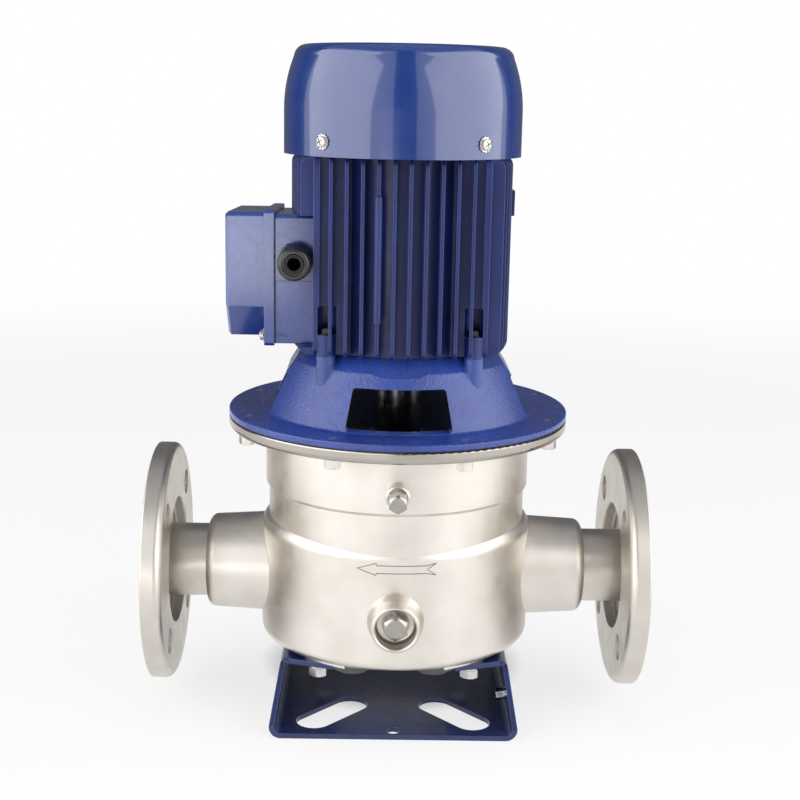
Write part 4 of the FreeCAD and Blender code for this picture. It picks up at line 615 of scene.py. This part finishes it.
def stood(grid, seat, outward, side):
    """The grid turned so that its Z points outward and its X along `side`, and moved to the seat."""
    outward, side = np.array(outward, dtype=float), np.array(side, dtype=float)
    axes = np.stack([side, np.cross(outward, side), outward])
    return grid @ axes + np.array(seat, dtype=float)


print("head grid:", hexagon_head(0.012, 0.0, 0.006).shape)

# %% [markdown]
# ## One bolt
#
# A real head has a chamfer, which puts a bright curved line across each flat, and often a washer
# that catches the light below it. The solid model has plain prisms, so the bolts are drawn again
# with the chamfer, and keep the same shank and place.

# %% Bolt with an optional washer
def bolt(seat, outward, side, flats, head, shank_radius, shank_length, washer=None, spin=0.0):
    """Patches of one bolt. Lengths are measured from the seat, and a washer is (radius, thickness)."""
    lift = washer[1] if washer else 0.0
    chamfer = 0.0004
    shapes = [hexagon_head(flats, lift, lift + head, spin),
              lathe([(0.0, lift), (shank_radius, lift), (shank_radius, chamfer - shank_length),
                     (shank_radius - chamfer, -shank_length), (0.0, -shank_length)], 24)]
    if washer:
        edge = washer[0] - chamfer
        shapes.append(lathe([(0.0, lift), (edge, lift), (washer[0], lift - chamfer), (washer[0], chamfer),
                             (edge, 0.0), (0.0, 0.0)]))
    return [(stood(shape, seat, outward, side), False, True) for shape in shapes]


def around_shaft(radius, turns, height):
    """Places on a circle about the pump's axis, each with its direction away from that axis."""
    return [((radius * math.cos(turn), radius * math.sin(turn), height),
             (math.cos(turn), math.sin(turn), 0.0)) for turn in turns]


def four_corners(x, y, height):
    """The places at plus and minus x and y."""
    return [(a, b, height) for a in (-x, x) for b in (-y, y)]


up, down, ahead = (0.0, 0.0, 1.0), (0.0, 0.0, -1.0), (1.0, 0.0, 0.0)
sample = bolt((0.0, 0.0, 0.0), up, ahead, 0.01, 0.004, 0.002, 0.01, (0.006, 0.001))
print("a bolt with a washer has", len(sample), "patches")

# %% [markdown]
# ## The three sets of bolts
#
# Eight bolts sit under the casing's rim, four under the foot plate and four on the motor's lower
# lugs. Their seats are found from the boxes of the plain sets: a box ends at the heads, so the seat
# lies a head further in, and a washer too where there is one.

# %% Bolts of the rim, the foot and the lugs
rim_bolt = {"flats": 0.010, "head": rim_bolt_head, "shank_radius": 0.003, "shank_length": 0.0129,
            "spin": math.pi / 6}
foot_bolt = {"flats": 0.012, "head": 0.006, "shank_radius": 0.004, "shank_length": 0.0058,
             "washer": (0.0068, 0.0018), "spin": math.radians(-20)}
lug_bolt = {"flats": 0.008, "head": 0.0035, "shank_radius": 0.0025, "shank_length": 0.027,
            "washer": (0.005, 0.001)}
rim_bolt_circle, rim_bolt_turns = 0.108, np.radians(22.5 + 45.0 * np.arange(8))
foot_bolt_x, foot_bolt_y, lug_x, lug_y = 0.051, 0.059, 0.0475, 0.0575
foot_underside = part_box("base_bolts")[0].z + foot_bolt["head"] + foot_bolt["washer"][1]
lug_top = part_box("frame_bolts")[1].z - lug_bolt["head"] - lug_bolt["washer"][1]

rim_bolts = [patch for seat, away in around_shaft(rim_bolt_circle, rim_bolt_turns, rim_underside)
             for patch in bolt(seat, down, away, **rim_bolt)]
foot_bolts = [patch for seat in four_corners(foot_bolt_x, foot_bolt_y, foot_underside)
              for patch in bolt(seat, down, ahead, **foot_bolt)]
lug_bolts = [patch for seat in four_corners(lug_x, lug_y, lug_top)
             for patch in bolt(seat, up, ahead, **lug_bolt)]
finish_piece(surface("rim_bolts", rim_bolts), stainless_bolt, "pump_body", "zinc_steel", "casing_bolts")
finish_piece(surface("foot_plate_bolts", foot_bolts), zinc_plated, "pump_body", "zinc_steel", "base_bolts")
finish_piece(surface("lug_bolts", lug_bolts), phosphated_bolt, "pump_body", "dark_steel", "frame_bolts")

# %% [markdown]
# ## Screw heads with a cross recess
#
# The cowl and the terminal box are held by pan-head screws on toothed washers. A head is a surface
# over a disc: its height falls with the radius as a dome, drops at the rim, and dips inside a cross.
# Cutting the cross with a Boolean would work too, but the formula keeps one clean grid. The washer's
# teeth are a wave round the rim, and they twist up and down so that they bite.

# %% Pan head and toothed washer
def pan_head(radius, low, high, spin=0.4):
    """Pan head: the height is high - 0.35 * rise * (r / R) ** 4, less a dip of 0.6 * rise where the
    distances to the two lines of the cross say so: one within the arm, the other within the reach."""
    rise = high - low
    share = np.linspace(0.0, 1.0, 26)[:, None]
    turn = np.linspace(0.0, 2 * np.pi, 72, endpoint=False)[None, :]
    x, y = share * radius * np.cos(turn), share * radius * np.sin(turn)
    u, v = np.abs(x * np.cos(spin) + y * np.sin(spin)), np.abs(y * np.cos(spin) - x * np.sin(spin))
    arm, reach, wall = 0.13 * radius, 0.58 * radius, 0.04 * radius
    dip = np.clip((arm - np.minimum(u, v)) / wall, 0, 1) * np.clip((reach - np.maximum(u, v)) / wall, 0, 1)
    height = high - 0.35 * rise * share ** 4 - 0.6 * rise * dip
    top = np.stack([x, y, height], axis=-1)
    return np.concatenate([top, lathe([(radius, low), (0.0, low)], 72)])


def toothed_washer(radius, hole, thickness, teeth=12):
    """Ring whose outer radius is R * (1 + 0.07 * wave). Its rim is a third thinner than its middle and
    twists up and down by a third of the thickness * wave."""
    turn = np.linspace(0.0, 2 * np.pi, teeth * 8, endpoint=False)
    wave = np.clip(3.0 * np.sin(teeth * turn), -1, 1)
    rim = radius * (1 + 0.07 * wave)
    rim_foot, rim_top = 0.33 * thickness * (1 + wave), thickness * (1 + 0.33 * wave)
    rows = [(hole, 0.0), (hole, thickness), (rim, rim_top), (rim, rim_foot)]
    return np.stack([np.stack([r * np.cos(turn), r * np.sin(turn), h + 0.0 * turn], axis=-1)
                     for r, h in rows])


def screw(seat, outward, side, head_radius, head_top, washer_radius, washer_thickness, shank_radius,
          shank_length):
    """Patches of a pan-head screw on its toothed washer. The washer's ring closes on itself both ways."""
    head = pan_head(head_radius, washer_thickness, head_top)
    washer = toothed_washer(washer_radius, shank_radius * 0.98, washer_thickness)
    shank = lathe([(0.0, washer_thickness), (shank_radius, washer_thickness),
                   (shank_radius, -shank_length), (0.0, -shank_length)], 24)
    return [(stood(head, seat, outward, side), False, True),
            (stood(washer, seat, outward, side), True, True),
            (stood(shank, seat, outward, side), False, True)]


print("pan head grid:", pan_head(0.0037, 0.0008, 0.0034).shape)

# %% [markdown]
# ## Screws of the cowl and of the terminal box
#
# Four screws enter the cowl from its sides, square to its wall, and two enter the lid of the
# terminal box at its lower corners. As with the bolts, their heights and the lid's face are read
# off the boxes of the plain sets.

# %% Cowl screws and lid screws
cowl_screw = {"head_radius": 0.0037, "head_top": 0.0034, "washer_radius": 0.0047,
              "washer_thickness": 0.0008, "shank_radius": 0.002, "shank_length": 0.009}
lid_screw = {"head_radius": 0.0034, "head_top": 0.0036, "washer_radius": 0.0039,
             "washer_thickness": 0.0008, "shank_radius": 0.002, "shank_length": 0.0152}
cowl_radius, cowl_screw_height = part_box("fan_cowl")[1].x, middle_height("cowl_screws")
cowl_turns = np.radians([50.2, 129.8, -129.8, -50.2])
lid_face, lid_screw_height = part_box("lid_screws")[0].x + lid_screw["head_top"], middle_height("lid_screws")
lid_screw_y, to_the_left = 0.042, (-1.0, 0.0, 0.0)

on_cowl = [patch for seat, away in around_shaft(cowl_radius, cowl_turns, cowl_screw_height)
           for patch in screw(seat, away, up, **cowl_screw)]
on_lid = [patch for y in (-lid_screw_y, lid_screw_y)
          for patch in screw((lid_face, y, lid_screw_height), to_the_left, up, **lid_screw)]
cowl_set, lid_set = surface("cowl_cross_screws", on_cowl), surface("lid_cross_screws", on_lid)
finish_piece(cowl_set, stainless_bolt, "pump_body", "zinc_steel", "cowl_screws")
finish_piece(lid_set, zinc_plated, "pump_body", "zinc_steel", "lid_screws")

# %% [markdown]
# ## A surface that glows only when looked at
#
# A product photograph has a white ground, yet a white ground that shone on the pump would wash out
# its colours. The floor and the world therefore ask what kind of ray meets them. The camera, a
# mirror and glass see white, and all other light meets something dimmer.

# %% Who is looking
def looked_at(tree):
    """1 where the camera, a mirror-like surface or glass looks, and 0 for all other light."""
    ray = add(tree, "ShaderNodeLightPath").outputs
    seen = add(tree, "ShaderNodeMath", {"operation": "MAXIMUM"},
               {0: ray["Is Camera Ray"], 1: ray["Is Glossy Ray"]})
    seen = add(tree, "ShaderNodeMath", {"operation": "MAXIMUM"},
               {0: seen.outputs[0], 1: ray["Is Transmission Ray"]})
    return seen.outputs[0]


print("rays that look: camera, glossy and transmission")

# %% [markdown]
# ## Floor
#
# The pump stands on matt white paper. Away from the pump the paper fades into the white world. Where
# it is looked at, three quarters of it is plain white glow and the rest still takes the pump's
# shadow. Behind the foot it only takes light and shadow, because a glowing floor would show there
# through the foot's slots as if a lamp stood under the pump.

# %% Floor paper
floor_size, fade_start, fade_end = 8.0, 0.9, 2.2
glow_share, shaded_middle, shaded_inner, shaded_outer = 0.75, (0.0, 0.06, 0.0), 0.065, 0.1
floor_line = np.linspace(-0.5, 0.5, 3) * floor_size
floor_x, floor_y = np.meshgrid(floor_line, floor_line, indexing="ij")
floor = surface("floor", [(np.stack([floor_x, floor_y, 0.0 * floor_x], axis=-1), False, False)])
floor_paper = bpy.data.materials.new("matt_white_paper")
floor_paper.use_nodes = True
tree = floor_paper.node_tree
tree.nodes.clear()
spot = add(tree, "ShaderNodeTexCoord").outputs["Object"]
distance = add(tree, "ShaderNodeVectorMath", {"operation": "LENGTH"}, {0: spot}).outputs["Value"]
fade = add(tree, "ShaderNodeMapRange", {"interpolation_type": "SMOOTHSTEP"},
           {"Value": distance, "From Min": fade_start, "From Max": fade_end}).outputs[0]
away = add(tree, "ShaderNodeVectorMath", {"operation": "DISTANCE"}, {0: spot, 1: shaded_middle})
lifted = add(tree, "ShaderNodeMapRange", None,
             {"Value": away.outputs["Value"], "From Min": shaded_inner, "From Max": shaded_outer,
              "To Min": 0.0, "To Max": glow_share}).outputs[0]
share = add(tree, "ShaderNodeMath", {"operation": "MULTIPLY"}, {0: looked_at(tree), 1: lifted})
paper = add(tree, "ShaderNodeBsdfDiffuse", None, {"Color": linear("#f4f4f4")})
glow = add(tree, "ShaderNodeEmission", None, {"Color": (1, 1, 1, 1), "Strength": 1.0})
near = add(tree, "ShaderNodeMixShader", None,
           {0: share.outputs[0], 1: paper.outputs[0], 2: glow.outputs[0]})
clear = add(tree, "ShaderNodeBsdfTransparent")
whole = add(tree, "ShaderNodeMixShader", None, {0: fade, 1: near.outputs[0], 2: clear.outputs[0]})
add(tree, "ShaderNodeOutputMaterial", None, {"Surface": whole.outputs[0]})
floor.data.materials.append(floor_paper)
print("floor", floor_size, "m")

# %% [markdown]
# ## Soft lamps
#
# Two large soft lamps at the sides light the pump and show as the pale bands on the cowl. A small
# low lamp in front, left of the middle, brightens the face of the terminal box. A lamp from above
# fills the tops. It is left out of reflections, because the steel would mirror it as one hard patch.

# %% Lamps
def softbox(name, place, aim, width, height, watts):
    """Rectangular soft lamp at a place, facing a point."""
    lamp = bpy.data.lights.new(name, "AREA")
    lamp.shape = "RECTANGLE"
    lamp.size, lamp.size_y, lamp.energy = width, height, watts
    holder = bpy.data.objects.new(name, lamp)
    holder.location = place
    holder.rotation_euler = (Vector(aim) - Vector(place)).to_track_quat("-Z", "Y").to_euler()
    holder.visible_camera = False
    bpy.context.scene.collection.objects.link(holder)
    return holder


middle, box_side = (0.0, 0.0, 0.23), (-0.11, 0.0, 0.31)
softbox("left_lamp", (-1.34, -0.64, 0.75), middle, 2.2, 1.7, 20.0)
softbox("right_lamp", (1.34, -0.56, 0.75), middle, 2.5, 1.7, 22.0)
softbox("low_lamp", (-0.52, -2.0, 0.12), box_side, 0.66, 0.24, 2.5)
top_lamp = softbox("top_lamp", (0.0, -0.3, 2.0), middle, 1.3, 1.0, 8.0)
top_lamp.visible_glossy = False

# %% [markdown]
# ## Cards seen only in reflections
#
# Bright metal looks like whatever stands round it, so a studio with white walls only would make it
# flat. Cards take part in reflections alone. A dark one in front makes the dark band down the
# middle of the cowl and the dark gaps between the fins. Grey and dark ones behind give the steel its
# edges, and a pale one overhead shows in its shoulders.

# %% Cards
def studio_card(name, corners, shade):
    """Flat card through four corners. Only mirror-like rays meet it, so it shades no surface."""
    card = surface(name, [(np.array(corners, dtype=float).reshape(2, 2, 3), False, False)])
    paper, _, shader, _ = new_finish(name + "_paper", Roughness=0.9)
    shader.inputs["Base Color"].default_value = linear(shade)
    card.data.materials.append(paper)
    card.visible_camera = card.visible_diffuse = card.visible_shadow = False
    return card


def upright_card(name, start, stop, low, high, shade):
    """Card that stands over the line from start to stop, each (x, y), between two heights."""
    return studio_card(name, [(*start, low), (*stop, low), (*start, high), (*stop, high)], shade)


left, right, back, front, foot, roof = -2.2, 2.0, 1.5, -2.0, 0.05, 2.6
upright_card("front_card", (-0.34, front), (0.42, front), 0.26, roof, "#17171a")
upright_card("low_front_card", (-0.17, front + 0.01), (0.6, front + 0.01), 0.0, 0.27, "#17171a")
upright_card("back_card", (left, back), (right, back), foot, roof, "#5c5d62")
upright_card("left_card", (left, back), (left, 0.68), foot, roof, "#1c1d21")
upright_card("right_card", (right, back), (right, 0.88), foot, roof, "#1c1d21")
overhead = [(-1.6, front, roof), (1.6, front, roof), (left, back, roof), (right, back, roof)]
studio_card("roof_card", overhead, "#c6c7cb")

# %% [markdown]
# ## World
#
# The world is plain white where it is looked at, and less than half as bright as a source of light,
# so that the lamps shape the pump and shadows stay open.

# %% World light
world_light, world_seen = 0.4, 1.0
world = bpy.data.worlds.new("studio")
bpy.context.scene.world = world
world.use_nodes = True
tree = world.node_tree
strength = add(tree, "ShaderNodeMapRange", None,
               {"Value": looked_at(tree), "To Min": world_light, "To Max": world_seen})
tree.links.new(strength.outputs[0], tree.nodes["Background"].inputs["Strength"])
tree.nodes["Background"].inputs["Color"].default_value = (1, 1, 1, 1)
print("world level away from the camera:", world_light)

# %% [markdown]
# ## Camera
#
# The camera stands about a metre in front of the pump, level with its cowl, and looks down by
# 12 degrees. Its axes are built from pitch, yaw and roll: forward first, then a level one and a
# steep one, which are turned by the roll. A Track To constraint would be quicker, but holds no roll.

# %% Camera and picture
focal_length, sensor_width = 63.6, 36.0
eye = Vector((-0.0110, -0.9536, 0.4242))
pitch, yaw, roll = 0.216, 0.013, 0.019
forward = Vector((math.sin(yaw) * math.cos(pitch), math.cos(yaw) * math.cos(pitch), -math.sin(pitch)))
level = Vector((math.cos(yaw), -math.sin(yaw), 0.0))
steep = level.cross(forward)
camera_right = math.cos(roll) * level + math.sin(roll) * steep
camera_up = math.cos(roll) * steep - math.sin(roll) * level
lens = bpy.data.cameras.new("camera")
lens.lens, lens.sensor_width = focal_length, sensor_width
camera = bpy.data.objects.new("camera", lens)
camera.matrix_world = Matrix((camera_right, camera_up, -forward)).transposed().to_4x4()
camera.location = eye
bpy.context.scene.collection.objects.link(camera)
bpy.context.scene.camera = camera
bpy.context.scene.view_settings.view_transform = "Standard"
print("camera looks along", [round(v, 3) for v in forward])
